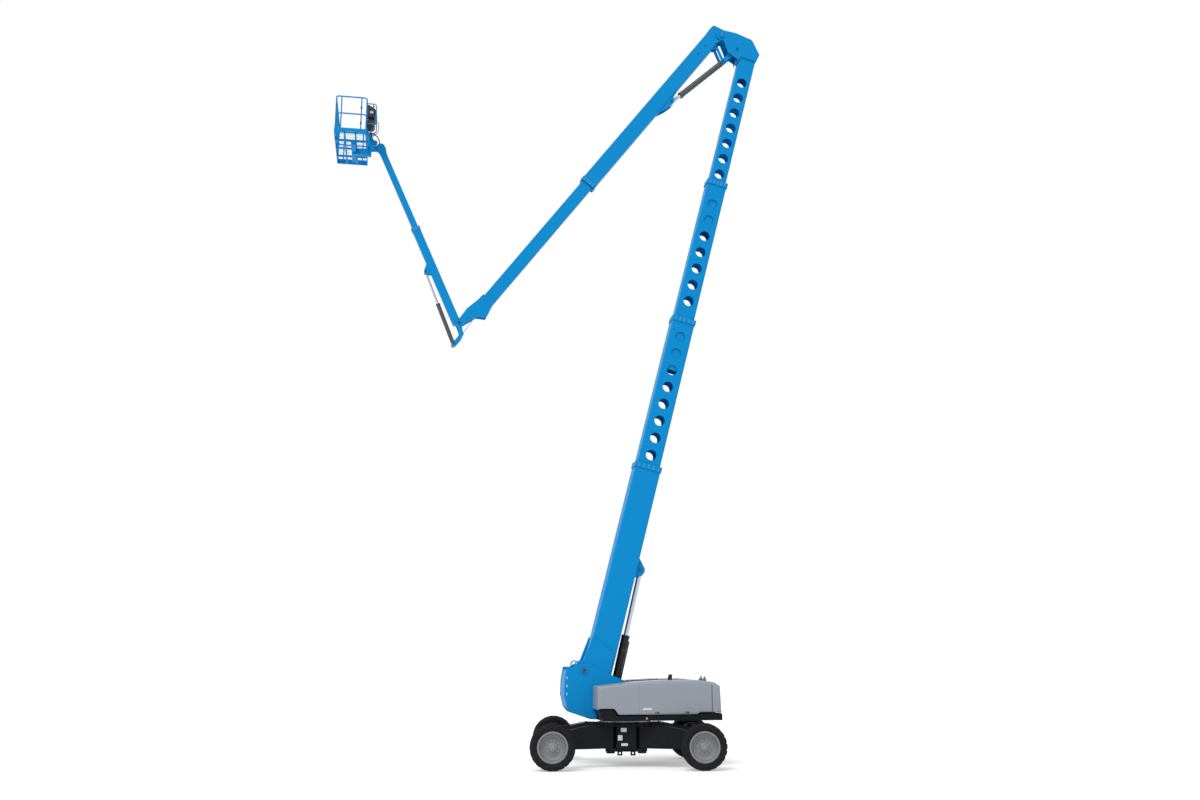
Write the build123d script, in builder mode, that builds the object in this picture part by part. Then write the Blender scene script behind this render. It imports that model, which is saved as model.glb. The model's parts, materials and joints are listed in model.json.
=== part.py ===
from build123d import *
import os
from math import atan2, cos, degrees, hypot, radians, sin

os.makedirs("parts", exist_ok=True)

# Driving dimensions, millimetres and degrees. X and Z pairs are measured from the slew axis at the ground.
slew_x = 1999.94           # slew axis from the origin, along +X
chassis_turn = -8.0        # heading of the chassis under the turntable
run_gap = 0.3              # running clearance at pads, pins and bores
side_gap = 6.0             # side clearance between cheeks and bosses

# Wheels and axles
tyre_d, tyre_w = 1155.0, 445.0
bead_d = 730.0
rim_flange_d = 785.0
half_wheelbase, half_track = 1905.0, 1747.5
king_y = 1290.0
post_x, post_y = 410.0, 750.0
post_d = 170.0
post_bottom = 345.0
frame_bottom, frame_top = 465.0, 1080.0
king_d = 170.0
eye_d = 50.0               # lashing eyes under the centre box
ring_top = 1170.0
ring_d = 1300.0

# Turntable
deck_top = 1290.0
deck_half_w = 1198.0
hood_bottom, hood_top = 1290.3, 2180.0
hood_half_w = 1200.0
hood_round = 85.0
hood_x0, hood_x1 = -930.0, 2360.0
deck_x0 = -800.0
hinge_y, hinge_z, hinge_r = 400.0, 2172.0, 10.0
hinge_xs = (950.0, 1500.0)
channel_half = 420.0
cheek_in, cheek_t = 345.0, 50.0

# Primary boom
prim_angle = 75.7
prim_pivot = (-1170.0, 2430.0)
prim_rise = 412.0          # pivot above the boom's axis
prim_h = (730.0, 660.0, 590.0, 510.0)
prim_w = (540.0, 470.0, 400.0, 330.0)
prim_wall = (14.0, 13.0, 12.0, 12.0)
prim_start = (-150.0, 4560.0, 8690.0, 13200.0)
prim_end = (5860.0, 10300.0, 14730.0, 18930.0)
hole_d = 300.0
hole_first = (0.0, 6137.0, 10834.0, 14980.0)
hole_pitch = (0.0, 509.0, 521.0, 520.0)
hole_count = (0, 8, 7, 7)
collar_t, collar_len = 24.0, 150.0
pin_d = 120.0

# Elbow
elbow_s, elbow_n = 19420.0, 967.0
fork_in, fork_out = 138.0, 165.0
cast_in, cast_half = 171.0, 205.0

# Lift cylinder
lift_base = (-406.0, 1446.5)
lift_eye = (454.0, 5096.5)
lift_barrel_d, lift_rod_d = 215.0, 130.0
lift_barrel_len = 1950.0

# Upper boom
upper_angle = -127.4
upper_h = (440.0, 350.0)
upper_w = (330.0, 250.0)
upper_wall = (12.0, 10.0)
upper_top = 400.0
upper_start = (250.0, 5600.0)
upper_end = (6600.0, 11500.0)
jib_pivot_t, jib_pivot_m = 12270.0, 386.0

# Elbow linkage, X and Z pairs
rock_pin = (3560.0, 20970.0)
node_pin = (3126.0, 20564.0)
link_pin = (2930.0, 21025.0)
elbow_eye = (1490.0, 19080.0)
ear_in = 96.0              # link ears, rocker plates and links, half widths from the middle plane
rock_in, rock_out = 98.0, 110.0
link_out = 132.0
eye_half = 108.0
elbow_barrel_d, elbow_rod_d = 176.0, 100.0
elbow_barrel_len = 1800.0
rod_in = 0.36              # the elbow rod's inner end, as a share of its barrel

# Jib
jib_angle = 114.2
jib_len = 5580.0
jib_h = (225.0, 170.0)
jib_w = (190.0, 150.0)
jib_wall = (8.0, 6.0)
jib_off = 60.0             # the jib's axis below its pivot
jib_outer_end = 3040.0
jib_cyl_base = (-4810.0, 11270.0)
jib_cyl_eye = (-5640.0, 13330.0)
jib_barrel_d, jib_rod_d = 115.0, 60.0
jib_barrel_len = 1234.0

# Platform, placed from the pin at the jib's head
head_s, head_n = 40.0, 205.0
goose_half = 40.0
rot_back = 160.0           # rotator's axis behind the head pin
plat_back = 84.0           # platform behind the rotator's axis
plat_long, plat_half = 870.0, 1070.0
floor_drop = 14.0          # tread plate's underside under the head pin
mid_up, rail_up = 545.0, 1064.0
rail_d = 38.0

turntable = Plane(origin=(slew_x, 0, 0), x_dir=(1, 0, 0), z_dir=(0, 0, 1))
chassis = Plane(
    origin=(slew_x, 0, 0),
    x_dir=(cos(radians(chassis_turn)), sin(radians(chassis_turn)), 0),
    z_dir=(0, 0, 1),
)


def side(base, x, z, angle=0.0, y=0.0):
    """Upright plane across the machine, its x at the angle above the base's x and its normal to the near side."""
    a = radians(angle)
    along = base.x_dir * cos(a) + base.z_dir * sin(a)
    return Plane(origin=base.from_local_coords(Vector(x, y, z)), x_dir=along, z_dir=-base.y_dir)


def station(x):
    """Upright plane across the turntable, its x to the far side and its y up."""
    return Plane(
        origin=turntable.from_local_coords(Vector(x, 0, 0)), x_dir=turntable.y_dir, z_dir=turntable.x_dir
    )


def cross(frame, s):
    """Plane square to a boom's axis at the station s, its x across the machine and its y that of the frame."""
    return Plane(
        origin=frame.from_local_coords(Vector(s, 0, 0)), x_dir=-frame.z_dir, z_dir=frame.x_dir
    )


def along(a, b):
    """Length and angle of the line from a to b."""
    return hypot(b[0] - a[0], b[1] - a[1]), degrees(atan2(b[1] - a[1], b[0] - a[0]))


def to_frame(point, origin, angle):
    """A point of the side view in the axes of a boom."""
    a = radians(angle)
    dx, dz = point[0] - origin[0], point[1] - origin[1]
    return dx * cos(a) + dz * sin(a), -dx * sin(a) + dz * cos(a)


def from_frame(s, n, origin, angle):
    """A station and offset on a boom as a point of the side view."""
    a = radians(angle)
    return origin[0] + s * cos(a) - n * sin(a), origin[1] + s * sin(a) + n * cos(a)


prim_foot = from_frame(0, -prim_rise, prim_pivot, prim_angle)
prim = side(turntable, *prim_foot, prim_angle)
elbow = from_frame(elbow_s, elbow_n, prim_foot, prim_angle)
# On the upper boom and the jib the plane's y points to the underside, so offsets to the top are negative.
upper = side(turntable, *elbow, upper_angle)
jib_pivot = from_frame(jib_pivot_t, -jib_pivot_m, elbow, upper_angle)
jib = side(turntable, *jib_pivot, jib_angle)
head = from_frame(jib_len + head_s, head_n, jib_pivot, jib_angle)
rot_x = head[0] - rot_back
plat_x1 = rot_x - plat_back
plat_x0 = plat_x1 - plat_long
floor_z = head[1] - floor_drop
mid_z, rail_z = floor_z + mid_up, floor_z + rail_up
frame_z = floor_z - 50

# Chassis
with BuildPart() as chassis_frame:
    with BuildSketch(chassis.offset(frame_bottom)):
        Rectangle(600, 1200)
        with Locations((0, 765), (0, -765)):
            Rectangle(500, 340)
    extrude(amount=frame_top - frame_bottom)
    # Plates above and below the hinge posts
    for z0, z1 in ((frame_bottom - 75, frame_bottom), (frame_top - 60, frame_top)):
        with BuildSketch(chassis.offset(z0)):
            with Locations((post_x, post_y), (-post_x, post_y), (post_x, -post_y), (-post_x, -post_y)):
                Circle(135)
            Rectangle(720, 1760)
        extrude(amount=z1 - z0)
    with BuildSketch(chassis.offset(post_bottom)):
        with Locations((post_x, post_y), (-post_x, post_y), (post_x, -post_y), (-post_x, -post_y)):
            Circle(post_d / 2)
    extrude(amount=frame_top - post_bottom)
    with BuildSketch(chassis.offset(post_bottom)):
        with Locations((post_x, post_y), (-post_x, post_y), (post_x, -post_y), (-post_x, -post_y)):
            Circle(112)
    extrude(amount=42)
    # Raised panels on the centre box and the lashing eyes under it
    for ey in (-1, 1):
        with BuildSketch(side(chassis, 0, 0, 0, ey * 935)):
            with Locations((0, 770)):
                RectangleRounded(420, 470, 30)
        extrude(amount=-ey * 12)
    for ex in (-1, 1):
        for ey in (-1, 1):
            with BuildSketch(side(chassis, ex * 170, frame_bottom - 75, 0, ey * 800 + 12)):
                with Locations((0, -40)):
                    Rectangle(130, 120)
                    Circle(eye_d / 2, mode=Mode.SUBTRACT)
            extrude(amount=24)
chassis_frame.part.label = "chassis_frame"
export_step(chassis_frame.part, "parts/chassis_frame.step")

with BuildPart() as slew_ring:
    with BuildSketch(chassis.offset(frame_top)):
        Circle(ring_d / 2)
        Circle(ring_d / 2 - 160, mode=Mode.SUBTRACT)
    extrude(amount=ring_top - frame_top)
slew_ring.part.label = "slew_ring"
export_step(slew_ring.part, "parts/slew_ring.step")

# Axle arms, knuckles and wheels, named by end (left, right) and side (near, far)
arm_len = along((post_x, post_y), (half_wheelbase, king_y))[0]
arm_z0, arm_z1 = frame_bottom + 5, frame_top - 65
for end, ex in (("left", -1), ("right", 1)):
    for hand, ey in (("near", -1), ("far", 1)):
        tag = end + "_" + hand
        root = Vector(ex * post_x, ey * post_y, 0)
        tip = Vector(ex * half_wheelbase, ey * king_y, 0)
        ax = (tip - root).normalized()
        arm_x = chassis.x_dir * ax.X + chassis.y_dir * ax.Y
        arm_plan = Plane(
            origin=chassis.from_local_coords(Vector(root.X, root.Y, 0)), x_dir=arm_x, z_dir=(0, 0, 1)
        )
        arm_side = Plane(
            origin=chassis.from_local_coords(Vector(root.X, root.Y, 0)),
            x_dir=arm_x,
            z_dir=arm_x.cross(Vector(0, 0, 1)),
        )
        with BuildPart() as arm:
            with BuildSketch(arm_side):
                with BuildLine():
                    Polyline(
                        (60, arm_z0), (arm_len - 60, arm_z0), (arm_len - 60, 885), (arm_len - 280, 885),
                        (arm_len - 480, 930), (arm_len - 900, arm_z1), (60, arm_z1), close=True,
                    )
                make_face()
            extrude(amount=110, both=True)
            with BuildSketch(arm_plan.offset(0)):
                with BuildLine():
                    o = ex * ey
                    Polyline(
                        (60, -o * 160), (420, -o * 160), (arm_len - 420, -o * 86), (arm_len - 60, -o * 80),
                        (arm_len - 60, o * 56), (arm_len - 260, o * 58), (arm_len - 620, o * 68),
                        (360, o * 160), (60, o * 160), close=True,
                    )
                make_face()
            extrude(amount=1500, mode=Mode.INTERSECT)
            with BuildSketch(arm_plan.offset(arm_z0)):
                Circle(125)
            extrude(amount=arm_z1 - arm_z0)
            with BuildSketch(arm_plan.offset(arm_z0)):
                Circle(post_d / 2 + run_gap)
            extrude(amount=arm_z1 - arm_z0, mode=Mode.SUBTRACT)
            with BuildSketch(arm_plan.offset(arm_z0)):
                with Locations((arm_len, 0)):
                    Circle(king_d / 2)
            extrude(amount=900 - arm_z0)
        arm.part.label = "axle_arm_" + tag
        export_step(arm.part, "parts/axle_arm_" + tag + ".step")

        # Knuckle: a fork above and below the arm's end, with the spindle to the hub
        knuckle_plan = Plane(
            origin=chassis.from_local_coords(Vector(tip.X, tip.Y, 0)),
            x_dir=chassis.x_dir, z_dir=(0, 0, 1),
        )
        with BuildPart() as knuckle:
            for z0, z1 in ((375, arm_z0 - run_gap), (900 + run_gap, 985)):
                with BuildSketch(knuckle_plan.offset(z0)):
                    Circle(95)
                    with Locations((0, ey * 80)):
                        Rectangle(180, 160)
                extrude(amount=z1 - z0)
            with BuildSketch(knuckle_plan.offset(375)):
                with Locations((0, ey * 130)):
                    Rectangle(180, 60)
            extrude(amount=610)
            with BuildSketch(side(chassis, tip.X, tyre_d / 2, 0, tip.Y + ey * 130)):
                Circle(160)
            extrude(amount=-ey * (half_track - 6 - run_gap - king_y - 130))
            with BuildSketch(side(chassis, tip.X, tyre_d / 2, 0, tip.Y + ey * 160)):
                Circle(205)
            extrude(amount=-ey * 26)
        knuckle.part.label = "knuckle_" + tag
        export_step(knuckle.part, "parts/knuckle_" + tag + ".step")

        hub = side(chassis, tip.X, tyre_d / 2, 0, ey * half_track)
        spin = Plane(origin=hub.origin, x_dir=(0, 0, 1), z_dir=-hub.x_dir)
        # In this plane x is the radius, y runs along the axle
        out = 1 if (spin.y_dir.dot(chassis.y_dir) * ey) > 0 else -1
        half = tyre_w / 2
        with BuildPart() as tyre:
            with BuildSketch(spin):
                with BuildLine():
                    f = rim_flange_d / 2 + 2
                    Polyline(
                        (bead_d / 2, -half + 42), (f, -half + 42), (tyre_d / 2 - 120, -half),
                        (tyre_d / 2 - 62, -half + 4), (tyre_d / 2 - 10, -half + 52), (tyre_d / 2, 0),
                        (tyre_d / 2 - 10, half - 52), (tyre_d / 2 - 62, half - 4), (tyre_d / 2 - 120, half),
                        (f, half - 42), (bead_d / 2, half - 42), close=True,
                    )
                make_face()
            revolve(axis=Axis(hub.origin, hub.z_dir))
        tyre.part.label = "tyre_" + tag
        export_step(tyre.part, "parts/tyre_" + tag + ".step")
        with BuildPart() as rim:
            with BuildSketch(spin):
                with BuildLine():
                    r = bead_d / 2 - run_gap
                    f = rim_flange_d / 2
                    e = half - 42 + run_gap
                    Polyline(
                        (0, out * 105), (95, out * 105), (120, out * 92), (120, out * 60), (220, out * 34),
                        (r - 70, out * 60), (r - 40, out * (e + 8)), (f, out * (e + 10)), (f, out * e),
                        (r, out * e), (r, -out * e), (f, -out * e), (f, -out * (e + 8)),
                        (r - 22, -out * (e + 6)), (r - 40, out * 20), (220, -out * 2), (180, -out * 6),
                        (0, -out * 6), close=True,
                    )
                make_face()
            revolve(axis=Axis(hub.origin, hub.z_dir))
        rim.part.label = "rim_" + tag
        export_step(rim.part, "parts/rim_" + tag + ".step")

# Turntable deck, its bulkheads along the boom's channel, and the side boxes under the hoods
with BuildPart() as deck:
    with BuildSketch(turntable.offset(ring_top)):
        with Locations(((deck_x0 + hood_x1) / 2, 0)):
            Rectangle(hood_x1 - deck_x0, 2 * deck_half_w)
    extrude(amount=deck_top - ring_top)
    bulkhead = channel_half - run_gap - cheek_in - cheek_t
    for ey in (-1, 1):
        y_wall = ey * (channel_half - run_gap)
        with BuildSketch(side(turntable, 0, 0, 0, y_wall)):
            with BuildLine():
                Polyline(
                    (hood_x0 + 40, 1440), (hood_x0 + 40, 1900), (0, 2060), (900, 2100), (1800, 2100),
                    (2150, 2060), (2300, 1900), (hood_x1 - 30, 1700), (hood_x1 - 30, deck_top - 5),
                    (-400, deck_top - 5), (-520, 1440), close=True,
                )
            make_face()
        extrude(amount=ey * bulkhead)
        # Hinge blocks of the hood
        for hx in hinge_xs:
            with BuildSketch(station(hx)):
                with Locations((ey * hinge_y, hinge_z)):
                    Circle(19)
                with Locations((ey * hinge_y, hinge_z - 50)):
                    Rectangle(36, 100)
                with Locations((ey * hinge_y, hinge_z)):
                    Circle(hinge_r + run_gap, mode=Mode.SUBTRACT)
            extrude(amount=60)
    for ey in (-1, 1):
        with BuildSketch(side(turntable, 0, 0, 0, ey * channel_half)):
            with BuildLine():
                Polyline(
                    (hood_x0 + 30, 1440), (deck_x0 + 20, ring_top + 6), (-300, ring_top + 6), (-300, deck_top),
                    (-400, deck_top - 0.3), (-520, 1439.7), close=True,
                )
            make_face()
        extrude(amount=-ey * (deck_half_w - channel_half))
        with BuildSketch(side(turntable, 0, 0, 0, ey * channel_half)):
            with BuildLine():
                Polyline(
                    (1700, deck_top), (1780, 1339.7), (hood_x1 - 2, 1339.7), (hood_x1 - 2, deck_top), close=True,
                )
            make_face()
        extrude(amount=-ey * (deck_half_w - channel_half))
deck.part.label = "turntable_deck"
export_step(deck.part, "parts/turntable_deck.step")

# Tower: two cheek plates, a belly plate, the boom's pivot pin and the hose guide
with BuildPart() as tower:
    for y0 in (-cheek_in - cheek_t, cheek_in):
        with BuildSketch(side(turntable, 0, 0, 0, y0 + cheek_t)):
            with BuildLine():
                FilletPolyline(
                    (-1620, 2520), (-1430, 2520), (-1330, 2590), (-1010, 2600), (-800, 2470), (-170, 2200),
                    (60, 2100), (420, 2060), (520, deck_top), (deck_x0 - 31, deck_top),
                    (deck_x0 - 31, ring_top), (-1010, 1185), (-1500, 1350), (-1612, 1480), (-1690, 1800),
                    (-1680, 2180), radius=30, close=True,
                )
            make_face()
        extrude(amount=cheek_t)
        # Hose guide, a half ring on the cheek
        with BuildSketch(side(turntable, -1310, 2575, 0, y0 + cheek_t)):
            Circle(105)
            Circle(78, mode=Mode.SUBTRACT)
            with Locations((0, -70)):
                Rectangle(220, 140, mode=Mode.SUBTRACT)
            with Locations((-91.5, -50), (91.5, -30)):
                Rectangle(27, 110)
        extrude(amount=cheek_t)
    with BuildSketch(side(turntable, 0, 0)):
        with BuildLine():
            Polyline(
                (-1620, 2440), (-1560, 2440), (-1615, 2180), (-1625, 1810), (-1555, 1510), (-1465, 1405),
                (-1000, 1245), (deck_x0 - run_gap, 1232), (deck_x0 - run_gap, ring_top + 4), (-1010, 1192),
                (-1495, 1357), (-1605, 1484), (-1683, 1800), (-1673, 2180), close=True,
            )
        make_face()
    extrude(amount=cheek_in, both=True)
    with BuildSketch(side(turntable, *prim_pivot)):
        Circle(pin_d / 2)
    extrude(amount=cheek_in + cheek_t + 30, both=True)
    # Floor plate, foot lugs and pin of the lift cylinder
    with BuildSketch(turntable.offset(deck_top)):
        with Locations((-290, 0)):
            Rectangle(1000, 2 * cheek_in + 2)
    extrude(amount=30)
    for y0 in (-150, 110):
        with BuildSketch(side(turntable, 0, 0, 0, y0 + 40)):
            with BuildLine():
                Polyline(
                    (lift_base[0] - 190, deck_top), (lift_base[0] - 90, lift_base[1] + 90),
                    (lift_base[0] + 90, lift_base[1] + 90), (lift_base[0] + 190, deck_top), close=True,
                )
            make_face()
        extrude(amount=40)
    with BuildSketch(side(turntable, *lift_base)):
        Circle(45)
    extrude(amount=150, both=True)
tower.part.label = "tower"
export_step(tower.part, "parts/tower.step")

# Hoods: shells over the machinery, open below and towards the boom's channel, on two hinge pins
skin = 14.0
for hand, ey in (("near", -1), ("far", 1)):
    with BuildPart() as hood_core:
        with BuildSketch(side(turntable, 0, 0, 0, ey * (channel_half - 20))):
            with BuildLine():
                FilletPolyline(
                    (hood_x0 + skin, 1100), (hood_x0 + skin, 2023), (170, 2150 - skin), (900, 2186 - skin),
                    (1760, 2186 - skin), (2156, 2140 - skin), (hood_x1 - 30 - skin, 2034), (hood_x1 - skin, 1340),
                    (hood_x1 - skin, 1100), radius=24, close=True,
                )
            make_face()
        extrude(amount=-ey * (hood_half_w - skin - channel_half + 20))
        outer = hood_core.faces().sort_by(Axis.Y)[0 if ey < 0 else -1]
        fillet([e for e in outer.edges() if e.center().Z > 1700], hood_round - skin)
    with BuildPart() as hood:
        with BuildSketch(side(turntable, 0, 0, 0, ey * channel_half)):
            with BuildLine():
                FilletPolyline(
                    (hood_x0, 1440.3), (hood_x0, 2035), (170, 2150), (900, 2186), (1760, 2186), (2160, 2140),
                    (hood_x1 - 30, 2040), (hood_x1, 1340), (1780, 1340), (1700, hood_bottom),
                    (-400, hood_bottom), (-520, 1440.3), radius=36, close=True,
                )
            make_face()
        extrude(amount=-ey * (hood_half_w - channel_half))
        outer = hood.faces().sort_by(Axis.Y)[0 if ey < 0 else -1]
        fillet([e for e in outer.edges() if e.center().Z > 1700], hood_round)
        add(hood_core.part, mode=Mode.SUBTRACT)
        for hx in hinge_xs:
            with BuildSketch(station(hx + 62)):
                with Locations((ey * (hinge_y + 12), hinge_z)):
                    Rectangle(26, 18)
            extrude(amount=60)
            with BuildSketch(station(hx - 12)):
                with Locations((ey * hinge_y, hinge_z)):
                    Circle(hinge_r)
            extrude(amount=134)
    hood.part.label = "hood_" + hand
    export_step(hood.part, "parts/hood_" + hand + ".step")

# Exhaust stub and the two lamps on the near hood
with BuildPart() as exhaust:
    with BuildSketch(turntable.offset(2186)):
        with Locations((1070, -760)):
            Circle(62)
    extrude(amount=70, taper=4)
    with BuildSketch(side(turntable, 1070, 2256, 0, -760)):
        with Locations((14, 30)):
            RectangleRounded(92, 84, 30)
    extrude(amount=45, both=True)
exhaust.part.label = "exhaust_stub"
export_step(exhaust.part, "parts/exhaust_stub.step")
with BuildPart() as lamps:
    # They stand square to the hood's top, which falls 46 in 400 beyond x = 1760
    for lx, ly in ((1845, -1010), (2045, -620)):
        seat = Plane(
            origin=(slew_x + lx, ly, 2186 - (lx - 1760) * 46 / 400 + run_gap), x_dir=(400, 0, -46), z_dir=(46, 0, 400)
        )
        with BuildSketch(seat):
            Circle(60)
        extrude(amount=46)
        with BuildSketch(seat.offset(46)):
            Circle(42)
        extrude(amount=44, taper=20)
lamps.part.label = "lamp_pair"
export_step(lamps.part, "parts/lamp_pair.step")

# Engine block inside the near hood, on the deck
with BuildPart() as engine:
    with BuildSketch(turntable.offset(deck_top)):
        with Locations((1000, -800)):
            Rectangle(1300, 520)
    extrude(amount=620)
engine.part.label = "engine_block"
export_step(engine.part, "parts/engine_block.step")
with BuildPart() as tank:
    with BuildSketch(turntable.offset(deck_top)):
        with Locations((900, 800)):
            Rectangle(1500, 480)
    extrude(amount=520)
tank.part.label = "tank_block"
export_step(tank.part, "parts/tank_block.step")

# Primary boom sections
names = ("boom_base", "boom_mid_1", "boom_mid_2", "boom_tip")
for i, name in enumerate(names):
    h, w, t = prim_h[i], prim_w[i], prim_wall[i]
    s0, s1 = prim_start[i], prim_end[i]
    with BuildPart() as boom:
        with BuildSketch(cross(prim, s0)):
            RectangleRounded(w, h, 40)
            RectangleRounded(w - 2 * t, h - 2 * t, 26, mode=Mode.SUBTRACT)
        extrude(amount=s1 - s0)
        if i > 0:
            # Lightening holes through both webs
            with BuildSketch(prim):
                with Locations(*[(hole_first[i] + k * hole_pitch[i], 0) for k in range(hole_count[i])]):
                    Circle(hole_d / 2)
            extrude(amount=w, both=True, mode=Mode.SUBTRACT)
        if i < 3:
            # Collar at the mouth, with wear pads against the next section
            with BuildSketch(cross(prim, s1 - collar_len)):
                RectangleRounded(w + 2 * collar_t, h + 2 * collar_t, 50)
                RectangleRounded(w - 1, h - 1, 40, mode=Mode.SUBTRACT)
            extrude(amount=collar_len)
            hi, wi = prim_h[i + 1] + 2 * run_gap, prim_w[i + 1] + 2 * run_gap
            with BuildSketch(cross(prim, s1 - 120)):
                up, out = (h + hi) / 4 - t / 2 + 0.5, (w + wi) / 4 - t / 2 + 0.5
                with Locations(*[(x * (wi / 2 - 70), y * up) for x in (-1, 1) for y in (-1, 1)]):
                    Rectangle(90, (h - hi) / 2 - t + 1)
                with Locations(*[(x * out, y * (hi / 2 - 80)) for x in (-1, 1) for y in (-1, 1)]):
                    Rectangle((w - wi) / 2 - t + 1, 90)
            extrude(amount=120)
        if i > 0:
            # Rear wear pads against the section outside
            ho = prim_h[i - 1] - 2 * prim_wall[i - 1] - 2 * run_gap
            with BuildSketch(cross(prim, s0)):
                with Locations(*[(x * (w / 2 - 90), y * ((h + ho) / 4 - 0.5)) for x in (-1, 1) for y in (-1, 1)]):
                    Rectangle(90, (ho - h) / 2 + 1)
            extrude(amount=140)
        if i == 0:
            # Rear boss on the pivot pin, and the lift cylinder's bracket under the boom
            rear_t = cheek_in - side_gap - w / 2 + t
            for y0 in (-cheek_in + side_gap, w / 2 - t):
                with BuildSketch(side(turntable, *prim_foot, prim_angle, y0 + rear_t)):
                    with BuildLine():
                        Polyline(
                            (-150, -300), (600, -300), (900, h / 2 - 40), (900, h / 2 + 20), (250, prim_rise + 60),
                            (110, prim_rise + 130), (-110, prim_rise + 130), (-190, prim_rise), close=True,
                        )
                    make_face()
                extrude(amount=rear_t)
            with BuildSketch(side(turntable, *prim_pivot)):
                Circle(130)
            extrude(amount=cheek_in - side_gap, both=True)
            with BuildSketch(side(turntable, *prim_pivot)):
                Circle(pin_d / 2 + run_gap)
            extrude(amount=cheek_in, both=True, mode=Mode.SUBTRACT)
            ls, ln = to_frame(lift_eye, prim_foot, prim_angle)
            for y0 in (-110, 70):
                with BuildSketch(side(turntable, *prim_foot, prim_angle, y0 + 40)):
                    with BuildLine():
                        Polyline(
                            (ls - 260, -h / 2 + 4), (ls - 150, ln - 60), (ls - 40, ln - 110), (ls + 60, ln - 100),
                            (ls + 330, -h / 2 + 4), close=True,
                        )
                    make_face()
                extrude(amount=40)
        if i == 3:
            # Elbow casting: a fork whose two cheeks hold the upper boom's end and the rocker
            q, top = s1 - 120, h / 2
            with BuildSketch(prim):
                with BuildLine():
                    FilletPolyline(
                        (s1, -top - 18), (s1 + 260, -top - 62), (elbow_s + 170, 20), (elbow_s + 225, 545),
                        (elbow_s + 192, 894), (elbow_s + 140, elbow_n + 90), (elbow_s + 40, elbow_n + 168),
                        (elbow_s - 90, elbow_n + 150), (elbow_s - 165, elbow_n + 20), (elbow_s - 130, 880),
                        (elbow_s - 490, 640), (q, top + 18), (q, top - 6), (s1, top - 6), radius=12, close=True,
                    )
                make_face()
            extrude(amount=cast_half, both=True)
            with BuildSketch(prim):
                with BuildLine():
                    Polyline(
                        (s1 - 230, 330), (elbow_s + 60, 330), (elbow_s + 60, 560), (elbow_s + 480, 560),
                        (elbow_s + 480, 1400), (s1 - 230, 1400), close=True,
                    )
                make_face()
            extrude(amount=cast_in, both=True, mode=Mode.SUBTRACT)
            with BuildSketch(side(turntable, *elbow)):
                Circle(pin_d / 2)
            extrude(amount=cast_half + 24, both=True)
            with BuildSketch(side(turntable, *rock_pin)):
                Circle(35)
            extrude(amount=cast_half + 10, both=True)
    boom.part.label = name
    export_step(boom.part, "parts/" + name + ".step")


def cylinder_planes(base, eye):
    """Plane along a cylinder from its base pin to its rod's eye, and its length."""
    length, angle = along(base, eye)
    return side(turntable, *base, angle), length


# Lift cylinder
lift, lift_len = cylinder_planes(lift_base, lift_eye)
with BuildPart() as lift_barrel:
    with BuildSketch(cross(lift, 60)):
        Circle(lift_barrel_d / 2)
        Circle(lift_rod_d / 2 + 12, mode=Mode.SUBTRACT)
    extrude(amount=lift_barrel_len - 60)
    with BuildSketch(cross(lift, 60)):
        Circle(lift_barrel_d / 2)
    extrude(amount=60)
    with BuildSketch(cross(lift, lift_barrel_len - 60)):
        Circle(lift_barrel_d / 2 + 6)
        Circle(lift_rod_d / 2 + run_gap, mode=Mode.SUBTRACT)
    extrude(amount=60)
    with BuildSketch(lift):
        Circle(95)
    extrude(amount=104, both=True)
    with BuildSketch(lift):
        Circle(45 + run_gap)
    extrude(amount=110, both=True, mode=Mode.SUBTRACT)
lift_barrel.part.label = "lift_barrel"
export_step(lift_barrel.part, "parts/lift_barrel.step")
with BuildPart() as lift_rod:
    with BuildSketch(cross(lift, lift_barrel_len - 100)):
        Circle(lift_rod_d / 2)
    extrude(amount=lift_len - lift_barrel_len + 60)
    with BuildSketch(lift):
        with Locations((lift_len, 0)):
            Circle(78)
    extrude(amount=64, both=True)
lift_rod.part.label = "lift_rod"
export_step(lift_rod.part, "parts/lift_rod.step")

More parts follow.
